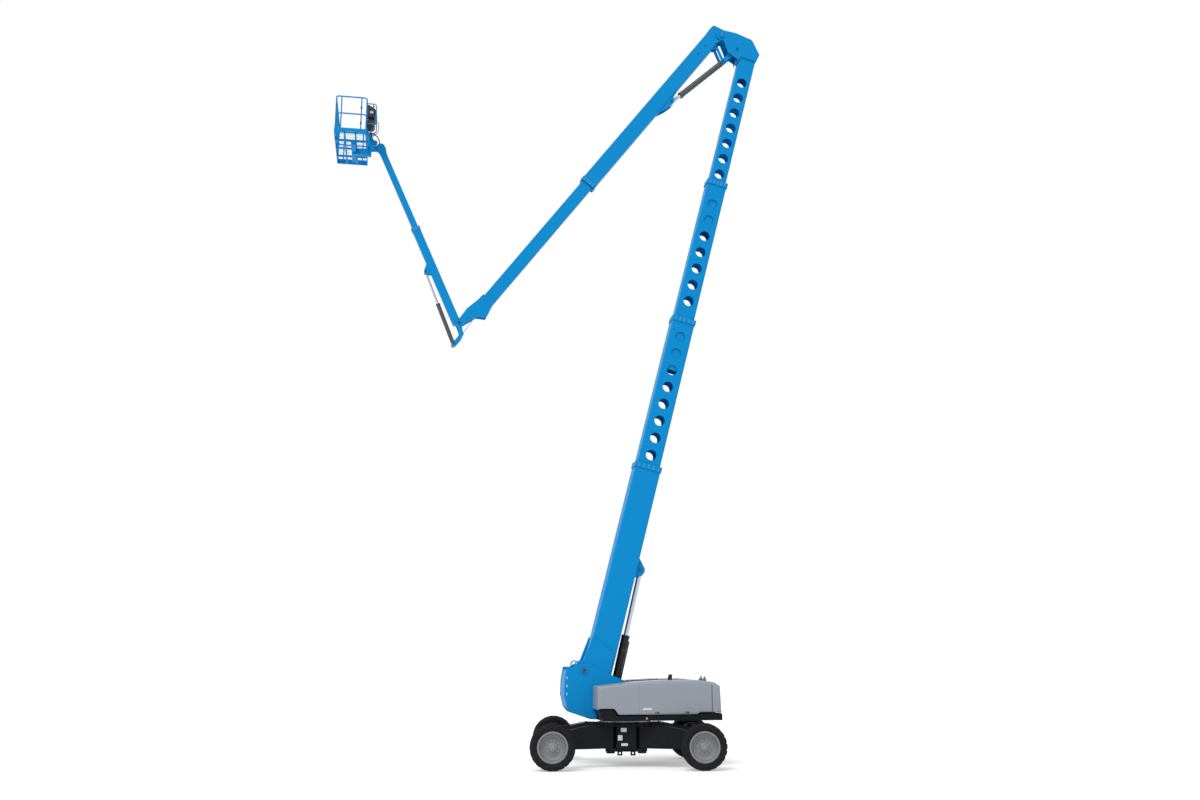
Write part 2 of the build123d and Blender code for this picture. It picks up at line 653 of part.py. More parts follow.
# Upper boom, outer tube
upper_mid = -upper_top + upper_h[0] / 2
with BuildPart() as upper_outer:
    with BuildSketch(cross(upper, upper_start[0])):
        with Locations((0, upper_mid)):
            RectangleRounded(upper_w[0], upper_h[0], 30)
            RectangleRounded(upper_w[0] - 2 * upper_wall[0], upper_h[0] - 2 * upper_wall[0], 18,
                             mode=Mode.SUBTRACT)
    extrude(amount=upper_end[0] - upper_start[0])
    with BuildSketch(cross(upper, upper_end[0] - 130)):
        with Locations((0, upper_mid)):
            RectangleRounded(upper_w[0] + 36, upper_h[0] + 36, 36)
            RectangleRounded(upper_w[0] - 1, upper_h[0] - 1, 30, mode=Mode.SUBTRACT)
    extrude(amount=130)
    hi, wi = upper_h[1] + 2 * run_gap, upper_w[1] + 2 * run_gap
    ho, wo = upper_h[0] - 2 * upper_wall[0] + 1, upper_w[0] - 2 * upper_wall[0] + 1
    with BuildSketch(cross(upper, upper_end[0] - 100)):
        with Locations((0, upper_mid + (hi + ho) / 4), (0, upper_mid - (hi + ho) / 4)):
            Rectangle(150, (ho - hi) / 2)
        with Locations(((wi + wo) / 4, upper_mid), (-(wi + wo) / 4, upper_mid)):
            Rectangle((wo - wi) / 2, 200)
    extrude(amount=100)
    # End fitting: two fork plates on the elbow pin and a cap over them
    with BuildSketch(upper):
        with BuildLine():
            FilletPolyline(
                (upper_start[0] + 20, 36), (upper_start[0] + 20, -upper_top), (-30, -upper_top - 8),
                (-131, -upper_top + 23), (-205, -50), (-160, 110), (-60, 165), (60, 165), (150, 90),
                radius=28, close=True,
            )
        make_face()
    extrude(amount=fork_out, both=True)
    with BuildSketch(upper):
        with BuildLine():
            Polyline(
                (upper_start[0] + 21, 300), (upper_start[0] + 21, -upper_top + 60), (-90, -upper_top + 60),
                (-160, -150), (-300, -150), (-300, 300), close=True,
            )
        make_face()
    extrude(amount=fork_in, both=True, mode=Mode.SUBTRACT)
    with BuildSketch(upper):
        Circle(pin_d / 2 + run_gap)
    extrude(amount=fork_out + 10, both=True, mode=Mode.SUBTRACT)
    # Ears for the link pair and bracket of the elbow cylinder, on the underside
    lt, lm = to_frame(link_pin, elbow, upper_angle)
    et, em = to_frame(elbow_eye, elbow, upper_angle)
    for ey in (-1, 1):
        with BuildSketch(side(turntable, *elbow, upper_angle, ey * ear_in)):
            with BuildLine():
                Polyline((lt - 90, 30), (lt - 50, lm + 50), (lt + 50, lm + 50), (lt + 130, 30), close=True)
            make_face()
        extrude(amount=-ey * (rock_out - ear_in))
        with BuildSketch(side(turntable, *link_pin, 0, ey * ear_in)):
            Circle(30)
        extrude(amount=-ey * (link_out + 4 - ear_in))
        with BuildSketch(side(turntable, *elbow, upper_angle, ey * (eye_half + side_gap - 1))):
            with BuildLine():
                Polyline(
                    (et - 640, 30), (et - 200, em - 60), (et - 60, em + 75), (et + 60, em + 75),
                    (et + 300, 150), (et + 620, 30), close=True,
                )
            make_face()
        extrude(amount=-ey * 25)
    with BuildSketch(side(turntable, *elbow_eye)):
        Circle(28)
    extrude(amount=eye_half + 32, both=True)
upper_outer.part.label = "upper_outer"
export_step(upper_outer.part, "parts/upper_outer.step")

# Upper boom, inner tube with the jib knuckle
with BuildPart() as upper_inner:
    with BuildSketch(cross(upper, upper_start[1])):
        with Locations((0, upper_mid)):
            RectangleRounded(upper_w[1], upper_h[1], 24)
            RectangleRounded(upper_w[1] - 2 * upper_wall[1], upper_h[1] - 2 * upper_wall[1], 14,
                             mode=Mode.SUBTRACT)
    extrude(amount=upper_end[1] - upper_start[1])
    ho = upper_h[0] - 2 * upper_wall[0] - 2 * run_gap
    with BuildSketch(cross(upper, upper_start[1])):
        with Locations((0, upper_mid + (upper_h[1] + ho) / 4 - 0.5), (0, upper_mid - (upper_h[1] + ho) / 4 + 0.5)):
            Rectangle(150, (ho - upper_h[1]) / 2 + 1)
    extrude(amount=120)
    cb_t, cb_m = to_frame(jib_cyl_base, elbow, upper_angle)
    k = jib_pivot_t
    for y0 in (-140, 100):
        with BuildSketch(side(turntable, *elbow, upper_angle, y0 + 40)):
            with BuildLine():
                FilletPolyline(
                    (k - 1170, -40), (k - 590, 90), (k - 450, -135), (k + 20, -296), (k + 85, -340),
                    (k + 95, -400), (k + 30, -470), (k - 120, -458), (k - 450, -482), (k - 870, -402),
                    (k - 1070, -392), radius=16, close=True,
                )
            make_face()
        extrude(amount=40)
        # Bell crank down to the jib cylinder's base
        with BuildSketch(side(turntable, *elbow, upper_angle, y0 + 40)):
            with BuildLine():
                FilletPolyline(
                    (k - 20, -330), (k + 170, -100), (k + 300, -62), (cb_t - 40, cb_m + 66), (cb_t + 40, cb_m + 60),
                    (cb_t + 66, cb_m - 20), (cb_t + 20, cb_m - 62), (cb_t - 120, cb_m - 30), (k + 290, -165),
                    (k + 200, -230), (k + 90, -420), (k, -440), radius=14, close=True,
                )
            make_face()
        extrude(amount=40)
    with BuildSketch(side(turntable, *jib_pivot)):
        Circle(35)
    extrude(amount=150, both=True)
    with BuildSketch(side(turntable, *jib_cyl_base)):
        Circle(28)
    extrude(amount=150, both=True)
upper_inner.part.label = "upper_inner"
export_step(upper_inner.part, "parts/upper_inner.step")

# Elbow linkage
rock_len, rock_angle = along(rock_pin, node_pin)
with BuildPart() as rocker:
    for ey in (-1, 1):
        with BuildSketch(side(turntable, *rock_pin, rock_angle, ey * rock_in)):
            with Locations((rock_len / 2, 0)):
                SlotCenterToCenter(rock_len, 130)
        extrude(amount=-ey * (rock_out - rock_in))
    with BuildSketch(side(turntable, *rock_pin)):
        Circle(35 + run_gap)
    extrude(amount=130, both=True, mode=Mode.SUBTRACT)
rocker.part.label = "elbow_rocker"
export_step(rocker.part, "parts/elbow_rocker.step")

with BuildPart() as links:
    link_len, link_angle = along(link_pin, node_pin)
    for ey in (-1, 1):
        with BuildSketch(side(turntable, *link_pin, link_angle, ey * (rock_out + 2))):
            with Locations((link_len / 2, 0)):
                SlotCenterToCenter(link_len, 88)
            Circle(30 + run_gap, mode=Mode.SUBTRACT)
        extrude(amount=-ey * (link_out - rock_out - 2))
links.part.label = "elbow_links"
export_step(links.part, "parts/elbow_links.step")

elbow_cyl, elbow_cyl_len = cylinder_planes(node_pin, elbow_eye)
with BuildPart() as elbow_barrel:
    with BuildSketch(cross(elbow_cyl, 72)):
        Circle(elbow_barrel_d / 2)
        Circle(elbow_rod_d / 2 + 10, mode=Mode.SUBTRACT)
    extrude(amount=elbow_barrel_len - 72)
    with BuildSketch(cross(elbow_cyl, 45)):
        Circle(elbow_barrel_d / 2)
    extrude(amount=77)
    with BuildSketch(cross(elbow_cyl, elbow_barrel_len - 60)):
        Circle(elbow_barrel_d / 2 + 12)
        Circle(elbow_rod_d / 2 + run_gap, mode=Mode.SUBTRACT)
    extrude(amount=60)
    with BuildSketch(elbow_cyl):
        Circle(72)
    extrude(amount=rock_in - side_gap, both=True)
elbow_barrel.part.label = "elbow_barrel"
export_step(elbow_barrel.part, "parts/elbow_barrel.step")
with BuildPart() as elbow_rod:
    with BuildSketch(cross(elbow_cyl, rod_in * elbow_barrel_len)):
        Circle(elbow_rod_d / 2)
    extrude(amount=elbow_cyl_len - rod_in * elbow_barrel_len - 30)
    with BuildSketch(elbow_cyl):
        with Locations((elbow_cyl_len, 0)):
            Circle(68)
    extrude(amount=eye_half, both=True)
    with BuildSketch(elbow_cyl):
        with Locations((elbow_cyl_len, 0)):
            Circle(28 + run_gap)
    extrude(amount=eye_half + 2, both=True, mode=Mode.SUBTRACT)
elbow_rod.part.label = "elbow_rod"
export_step(elbow_rod.part, "parts/elbow_rod.step")

# Jib, outer tube
with BuildPart() as jib_outer:
    with BuildSketch(cross(jib, 120)):
        with Locations((0, jib_off)):
            RectangleRounded(jib_w[0], jib_h[0], 18)
            RectangleRounded(jib_w[0] - 2 * jib_wall[0], jib_h[0] - 2 * jib_wall[0], 11, mode=Mode.SUBTRACT)
    extrude(amount=jib_outer_end - 120)
    with BuildSketch(cross(jib, jib_outer_end - 90)):
        with Locations((0, jib_off)):
            RectangleRounded(jib_w[0] + 24, jib_h[0] + 24, 22)
            RectangleRounded(jib_w[0] - 1, jib_h[0] - 1, 18, mode=Mode.SUBTRACT)
    extrude(amount=90)
    hi, wi = jib_h[1] + 2 * run_gap, jib_w[1] + 2 * run_gap
    ho, wo = jib_h[0] - 2 * jib_wall[0] + 1, jib_w[0] - 2 * jib_wall[0] + 1
    with BuildSketch(cross(jib, jib_outer_end - 90)):
        with Locations((0, jib_off + (hi + ho) / 4), (0, jib_off - (hi + ho) / 4)):
            Rectangle(90, (ho - hi) / 2)
        with Locations(((wi + wo) / 4, jib_off), (-(wi + wo) / 4, jib_off)):
            Rectangle((wo - wi) / 2, 90)
    extrude(amount=90)
    with BuildSketch(jib):
        with BuildLine():
            Polyline(
                (0, -66), (50, -60), (160, jib_off - jib_h[0] / 2), (160, jib_off + jib_h[0] / 2),
                (20, jib_off + jib_h[0] / 2 - 4), (-66, 40), (-66, -30), close=True,
            )
        make_face()
    extrude(amount=94, both=True)
    with BuildSketch(jib):
        Circle(35 + run_gap)
    extrude(amount=100, both=True, mode=Mode.SUBTRACT)
    jt, jm = to_frame(jib_cyl_eye, jib_pivot, jib_angle)
    for y0 in (-75, 50):
        with BuildSketch(side(turntable, *jib_pivot, jib_angle, y0 + 25)):
            with BuildLine():
                Polyline(
                    (jt - 130, 168), (jt - 60, jm + 40), (jt - 20, jm + 52), (jt + 60, jm + 20), (jt + 210, 168),
                    close=True,
                )
            make_face()
        extrude(amount=25)
jib_outer.part.label = "jib_outer"
export_step(jib_outer.part, "parts/jib_outer.step")

# Jib, inner tube with its gooseneck
with BuildPart() as jib_inner:
    with BuildSketch(cross(jib, jib_outer_end - 700)):
        with Locations((0, jib_off)):
            RectangleRounded(jib_w[1], jib_h[1], 14)
            RectangleRounded(jib_w[1] - 2 * jib_wall[1], jib_h[1] - 2 * jib_wall[1], 8, mode=Mode.SUBTRACT)
    extrude(amount=jib_len - 220 - jib_outer_end + 700)
    g, gn = jib_len, jib_off
    with BuildSketch(jib):
        with BuildLine():
            FilletPolyline(
                (g - 380, gn - 84), (g - 180, gn - 96), (g - 40, gn - 132), (g + 90, gn - 116), (g + 140, gn - 60),
                (g + 140, gn + 20), (g + 120, head_n - 50), (g + 110, head_n + 24), (g + head_s, head_n + 60),
                (g - 20, head_n + 36), (g - 70, head_n - 36), (g - 150, gn + 92), (g - 380, gn + 84),
                radius=18, close=True,
            )
        make_face()
    extrude(amount=goose_half, both=True)
    with BuildSketch(cross(jib, jib_len - 380)):
        with Locations((0, jib_off)):
            RectangleRounded(jib_w[1] - 6, jib_h[1] - 6, 11)
    extrude(amount=170)
    with BuildSketch(side(turntable, *head)):
        Circle(28 + run_gap)
    extrude(amount=goose_half + 10, both=True, mode=Mode.SUBTRACT)
jib_inner.part.label = "jib_inner"
export_step(jib_inner.part, "parts/jib_inner.step")

jib_cyl, jib_cyl_len = cylinder_planes(jib_cyl_base, jib_cyl_eye)
with BuildPart() as jib_barrel:
    with BuildSketch(cross(jib_cyl, 50)):
        Circle(jib_barrel_d / 2)
        Circle(jib_rod_d / 2 + 8, mode=Mode.SUBTRACT)
    extrude(amount=jib_barrel_len - 50)
    with BuildSketch(cross(jib_cyl, 50)):
        Circle(jib_barrel_d / 2)
    extrude(amount=40)
    with BuildSketch(cross(jib_cyl, jib_barrel_len - 40)):
        Circle(jib_barrel_d / 2 + 8)
        Circle(jib_rod_d / 2 + run_gap, mode=Mode.SUBTRACT)
    extrude(amount=40)
    with BuildSketch(jib_cyl):
        Circle(58)
    extrude(amount=79, both=True)
    with BuildSketch(jib_cyl):
        Circle(28 + run_gap)
    extrude(amount=90, both=True, mode=Mode.SUBTRACT)
jib_barrel.part.label = "jib_barrel"
export_step(jib_barrel.part, "parts/jib_barrel.step")
with BuildPart() as jib_rod:
    with BuildSketch(cross(jib_cyl, jib_barrel_len - 120)):
        Circle(jib_rod_d / 2)
    extrude(amount=jib_cyl_len - jib_barrel_len + 90)
    with BuildSketch(jib_cyl):
        with Locations((jib_cyl_len, 0)):
            Circle(42)
    extrude(amount=43, both=True)
jib_rod.part.label = "jib_rod"
export_step(jib_rod.part, "parts/jib_rod.step")

# Levelling bracket at the jib's head, and the rotator post
hx, hz = head
post_d2 = 110.0
with BuildPart() as bracket:
    for ey in (-1, 1):
        with BuildSketch(side(turntable, 0, 0, 0, ey * (goose_half + side_gap))):
            with BuildLine():
                FilletPolyline(
                    (hx + 50, hz + 20), (hx + 30, hz - 44), (hx - 30, hz - 56), (rot_x, frame_z + 2),
                    (rot_x, hz + 330), (rot_x + 60, hz + 330), (rot_x + 100, hz + 240), (hx + 20, hz + 232),
                    (hx + 48, hz + 190), (hx - 20, hz + 130), radius=10, close=True,
                )
            make_face()
            with BuildLine():
                Polyline((rot_x + 74, hz + 60), (hx - 30, hz + 70), (rot_x + 96, hz + 150), close=True)
            make_face(mode=Mode.SUBTRACT)
        extrude(amount=-ey * 25)
    with BuildSketch(side(turntable, *head)):
        Circle(28)
    extrude(amount=goose_half + side_gap + 30, both=True)
    with BuildSketch(turntable.offset(frame_z)):
        with Locations((rot_x, 0)):
            Circle(post_d2 / 2)
    extrude(amount=hz + 480 - frame_z)
bracket.part.label = "level_bracket"
export_step(bracket.part, "parts/level_bracket.step")

# Platform support box, on the rotator
with BuildPart() as support:
    with BuildSketch(turntable.offset(frame_z - 160)):
        with Locations((rot_x - 212.5, 0)):
            Rectangle(515, 150)
    extrude(amount=160 - run_gap)
    with BuildSketch(turntable.offset(frame_z - 120)):
        with Locations((rot_x - 440, 0)):
            Rectangle(120, 1240)
    extrude(amount=120 - run_gap)
support.part.label = "platform_support"
export_step(support.part, "parts/platform_support.step")

# Platform floor: a frame with cross members, and the tread plate inside its rim
plat_mid = (plat_x0 + plat_x1) / 2
rim_w = rail_d + 4
with BuildPart() as floor:
    with BuildSketch(turntable.offset(frame_z)):
        with Locations((plat_mid, 0)):
            Rectangle(plat_long, 2 * plat_half)
            with GridLocations(plat_long / 3, plat_half / 2, 3, 4):
                Rectangle(plat_long / 3 - 45, plat_half / 2 - 45, mode=Mode.SUBTRACT)
    extrude(amount=floor_z - frame_z)
    with BuildSketch(turntable.offset(floor_z)):
        with Locations((plat_mid, 0)):
            Rectangle(plat_long - 2 * rim_w, 2 * plat_half - 2 * rim_w)
    extrude(amount=12)
floor.part.label = "platform_floor"
export_step(floor.part, "parts/platform_floor.step")

# Platform rails: top and middle rails, posts and toe band
with BuildPart() as rails:
    for z in (mid_z, rail_z - rail_d / 2):
        with BuildSketch(turntable.offset(z - rail_d / 2)):
            with Locations((plat_mid, 0)):
                RectangleRounded(plat_long, 2 * plat_half, 110)
                RectangleRounded(
                    plat_long - 2 * rail_d, 2 * plat_half - 2 * rail_d, 110 - rail_d, mode=Mode.SUBTRACT
                )
        extrude(amount=rail_d)
    with BuildSketch(turntable.offset(floor_z)):
        with Locations((plat_mid, 0)):
            Rectangle(plat_long, 2 * plat_half)
            Rectangle(plat_long - 12, 2 * plat_half - 12, mode=Mode.SUBTRACT)
    extrude(amount=110)
    with BuildSketch(turntable.offset(floor_z)):
        for px in (plat_x0 + rail_d / 2, plat_x1 - rail_d / 2):
            with Locations(*[(px, k * (plat_half - 150) / 2) for k in (-2, -1, 0, 1, 2)]):
                Circle(rail_d / 2 - 1)
        for py in (-plat_half + rail_d / 2, plat_half - rail_d / 2):
            with Locations((plat_mid - 265, py), (plat_mid + 278, py)):
                Circle(rail_d / 2 - 1)
    extrude(amount=rail_z - floor_z - rail_d)
rails.part.label = "platform_rails"
export_step(rails.part, "parts/platform_rails.step")

# Control console outside the inner rail, and its guard hoop
con_x, con_y, con_w = plat_x1 + 0.3, -450.0, 560.0
con_top, con_low = rail_z - 30, rail_z - 640
with BuildPart() as console:
    with BuildSketch(side(turntable, 0, 0, 0, con_y + con_w / 2)):
        with BuildLine():
            FilletPolyline(
                (con_x, con_low + 60), (con_x, con_top - 150), (con_x + 150, con_top), (con_x + 215, con_top - 30),
                (con_x + 228, con_low + 330), (con_x + 190, con_low + 300), (con_x + 190, con_low + 20),
                (con_x + 60, con_low), radius=12, close=True,
            )
        make_face()
    extrude(amount=con_w)
console.part.label = "console"
export_step(console.part, "parts/console.step")
with BuildPart() as guard:
    for y0 in (con_y - con_w / 2 - 40, con_y + con_w / 2 + 40):
        with BuildSketch(side(turntable, 0, 0, 0, y0 + 13)):
            with BuildLine():
                FilletPolyline(
                    (con_x, rail_z - 2), (con_x + 240, rail_z - 12), (con_x + 256, rail_z - 480),
                    (con_x + 228, rail_z - 480), (con_x + 214, rail_z - 40), (con_x, rail_z - 30), radius=9,
                    close=True,
                )
            make_face()
        extrude(amount=26)
    with BuildSketch(side(turntable, con_x + 236, rail_z - 27, 0, con_y + con_w / 2 + 40)):
        Circle(13)
    extrude(amount=con_w + 80)
guard.part.label = "console_guard"
export_step(guard.part, "parts/console_guard.step")
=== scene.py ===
"""Dressed scene of the articulating boom lift: finishes, trim, floor, light and camera."""
from __future__ import annotations

import json
import logging
import math
from dataclasses import dataclass
from enum import Enum

import bmesh
import bpy
from mathutils import Matrix, Vector

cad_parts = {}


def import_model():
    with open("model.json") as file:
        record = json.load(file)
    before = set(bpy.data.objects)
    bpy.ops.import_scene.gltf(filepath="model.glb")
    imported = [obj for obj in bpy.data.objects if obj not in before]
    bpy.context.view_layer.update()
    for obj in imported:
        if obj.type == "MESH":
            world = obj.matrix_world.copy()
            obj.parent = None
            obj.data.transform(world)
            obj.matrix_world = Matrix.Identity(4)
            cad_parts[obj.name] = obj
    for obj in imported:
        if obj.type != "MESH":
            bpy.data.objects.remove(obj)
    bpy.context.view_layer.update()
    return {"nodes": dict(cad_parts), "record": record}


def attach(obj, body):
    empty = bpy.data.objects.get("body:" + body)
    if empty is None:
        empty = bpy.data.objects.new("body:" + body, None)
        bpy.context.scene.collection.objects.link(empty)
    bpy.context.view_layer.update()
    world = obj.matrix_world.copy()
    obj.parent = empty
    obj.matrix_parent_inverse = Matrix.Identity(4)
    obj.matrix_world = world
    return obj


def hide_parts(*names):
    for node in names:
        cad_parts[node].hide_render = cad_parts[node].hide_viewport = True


log = logging.getLogger("boom_lift")

SLEW_X = 1.99994


class Slot(Enum):
    """Material slots of the record, each with one finish."""

    BOOM = "boom_blue"
    HOOD = "hood_grey"
    CHASSIS = "chassis_black"
    RIM = "rim_grey"
    TYRE = "tyre"
    STEEL = "bare_steel"
    BLOCK = "block_grey"
    BARREL_BLACK = "barrel_black"
    BARREL_GREY = "barrel_grey"
    CHROME = "rod_chrome"
    CONSOLE = "console_black"
    LAMP = "lamp_teal"


class Trim(Enum):
    """Finishes of the added pieces that no slot of the record names."""

    BOLT = "screw_heads"
    PIN = "pin_faces"
    SEAL = "rubber_seal"
    SEAM = "hood_seam"
    HOSE = "hose_rubber"
    CABLE = "cable_sheath"
    PLATE = "blank_plate"
    AMBER = "amber_lens"
    RED = "red_lens"
    GUN = "dark_fitting"
    TRAY = "hose_tray"
    # Painted highlight: pale blue patches on the tower's cheeks.
    PAINTED_HIGHLIGHT = "pale_plate"


@dataclass(frozen=True)
class Finish:
    """One painted, plated, moulded or rubber finish."""

    name: str
    colour: tuple[float, float, float]
    rough: float
    metallic: float = 0.0
    coat: float = 0.0
    grain_scale: float = 60.0
    grain_depth: float = 0.002
    dust: float = 0.15
    tint: float = 0.06
    streak: float = 0.04
    shine: float = 0.5


FINISHES: dict[Slot, Finish] = {
    Slot.BOOM: Finish("BoomBlue", (0.0, 0.280, 0.670), 0.42, coat=0.0, dust=0.0, tint=0.09, streak=0.03,
                      shine=0.12),
    Slot.HOOD: Finish("HoodGrey", (0.30, 0.335, 0.385), 0.40, coat=0.15, dust=0.08, grain_depth=0.0012),
    Slot.CHASSIS: Finish("ChassisBlack", (0.0065, 0.008, 0.012), 0.5, grain_depth=0.0008, dust=0.02,
                         shine=0.12),
    Slot.RIM: Finish("RimGrey", (0.235, 0.242, 0.256), 0.45, dust=0.06, shine=0.35),
    Slot.TYRE: Finish("TyreRubber", (0.013, 0.013, 0.014), 0.80, grain_scale=120.0, grain_depth=0.003,
                      dust=0.04, shine=0.12),
    Slot.STEEL: Finish("BareSteel", (0.32, 0.33, 0.34), 0.38, metallic=1.0),
    Slot.BLOCK: Finish("CastBlock", (0.06, 0.065, 0.07), 0.6, dust=0.25),
    Slot.BARREL_BLACK: Finish("BarrelBlack", (0.006, 0.006, 0.008), 0.4, dust=0.02, shine=0.3),
    Slot.BARREL_GREY: Finish("BarrelGrey", (0.055, 0.062, 0.070), 0.42, coat=0.15),
    Slot.CHROME: Finish("RodChrome", (0.50, 0.52, 0.56), 0.22, metallic=1.0, grain_depth=0.0, dust=0.0,
                        streak=0.0),
    Slot.CONSOLE: Finish("ConsoleBlack", (0.020, 0.021, 0.024), 0.55, grain_scale=180.0),
    Slot.LAMP: Finish("LampTeal", (0.0, 0.16, 0.34), 0.22, coat=0.4, grain_depth=0.0),
}

FIT: dict[Trim, Finish] = {
    Trim.BOLT: Finish("ZincScrew", (0.34, 0.35, 0.36), 0.36, metallic=1.0, grain_scale=200.0),
    Trim.PIN: Finish("PinFace", (0.028, 0.040, 0.055), 0.42, metallic=0.6, grain_scale=140.0),
    Trim.SEAL: Finish("SealRubber", (0.014, 0.014, 0.015), 0.7),
    Trim.SEAM: Finish("SeamShade", (0.17, 0.195, 0.23), 0.6, dust=0.0),
    Trim.HOSE: Finish("HoseRubber", (0.012, 0.012, 0.013), 0.55, grain_scale=220.0),
    Trim.CABLE: Finish("CableSheath", (0.24, 0.26, 0.30), 0.5, grain_scale=220.0),
    Trim.PLATE: Finish("BlankPlate", (0.74, 0.76, 0.78), 0.42, dust=0.05, tint=0.03),
    Trim.AMBER: Finish("AmberLens", (0.80, 0.22, 0.02), 0.2, coat=0.5, grain_scale=90.0),
    Trim.RED: Finish("RedLens", (0.62, 0.015, 0.012), 0.2, coat=0.5, grain_scale=90.0),
    Trim.GUN: Finish("DarkFitting", (0.05, 0.053, 0.058), 0.4, metallic=0.8, grain_scale=150.0),
    Trim.TRAY: Finish("HoseTray", (0.27, 0.30, 0.33), 0.5, metallic=0.2),
    # Painted highlight: pale blue patches that stand in for light on the tower's cheeks, not real plates.
    Trim.PAINTED_HIGHLIGHT: Finish("PaintedHighlightBlue", (0.30, 0.62, 0.85), 0.42, dust=0.02),
}


def figure(tree: bpy.types.NodeTree, op: str, *terms: bpy.types.NodeSocket | float) -> bpy.types.NodeSocket:
    """Adds a math node.

    Args:
        tree: The node tree.
        op: The operation.
        terms: Its terms, each a socket or a number.

    Returns:
        The result's socket.
    """
    node = tree.nodes.new("ShaderNodeMath")
    node.operation = op
    for slot, term in zip(node.inputs, terms):
        if isinstance(term, float):
            slot.default_value = term
        else:
            tree.links.new(term, slot)
    return node.outputs[0]


def socket(tree: bpy.types.NodeTree, name: str, kind: str, value: object = None, way: str = "INPUT") -> None:
    """Adds one named socket to a node group.

    Args:
        tree: The node group.
        name: The socket's name.
        kind: Its type, without the common prefix.
        value: The default value, if any.
        way: INPUT or OUTPUT.
    """
    made = tree.interface.new_socket(name=name, in_out=way, socket_type="NodeSocket" + kind)
    if value is not None:
        made.default_value = value


def linked(name: str, data: bpy.types.ID) -> bpy.types.Object:
    """Makes an object and links it to the scene.

    Args:
        name: The object's name.
        data: Its mesh, curve, camera or light.

    Returns:
        The object.
    """
    obj = bpy.data.objects.new(name, data)
    bpy.context.scene.collection.objects.link(obj)
    return obj


def to_mesh(bm: bmesh.types.BMesh, name: str) -> bpy.types.Mesh:
    """Turns a working mesh into a plain one and frees it.

    Args:
        bm: The working mesh.
        name: The plain mesh's name.

    Returns:
        The plain mesh.
    """
    me = bpy.data.meshes.new(name)
    bm.to_mesh(me)
    bm.free()
    return me


def skin(bm: bmesh.types.BMesh, rows: list[list[bmesh.types.BMVert]], ends: bool = True) -> None:
    """Joins closed rows of vertices with faces.

    Args:
        bm: The working mesh.
        rows: The rows in order, each with as many vertices.
        ends: True where the first and last rows are closed by a face.
    """
    for low, high in zip(rows, rows[1:]):
        for k, first in enumerate(low):
            m = (k + 1) % len(low)
            bm.faces.new((first, low[m], high[m], high[k]))
    if ends:
        bm.faces.new(rows[0][::-1])
        bm.faces.new(rows[-1])


def round_points(radius: float, steps: int) -> list[tuple[float, float]]:
    """Gives points round a circle.

    Args:
        radius: Its radius.
        steps: How many points.

    Returns:
        The points.
    """
    turns = [math.tau * k / steps for k in range(steps)]
    return [(radius * math.cos(t), radius * math.sin(t)) for t in turns]


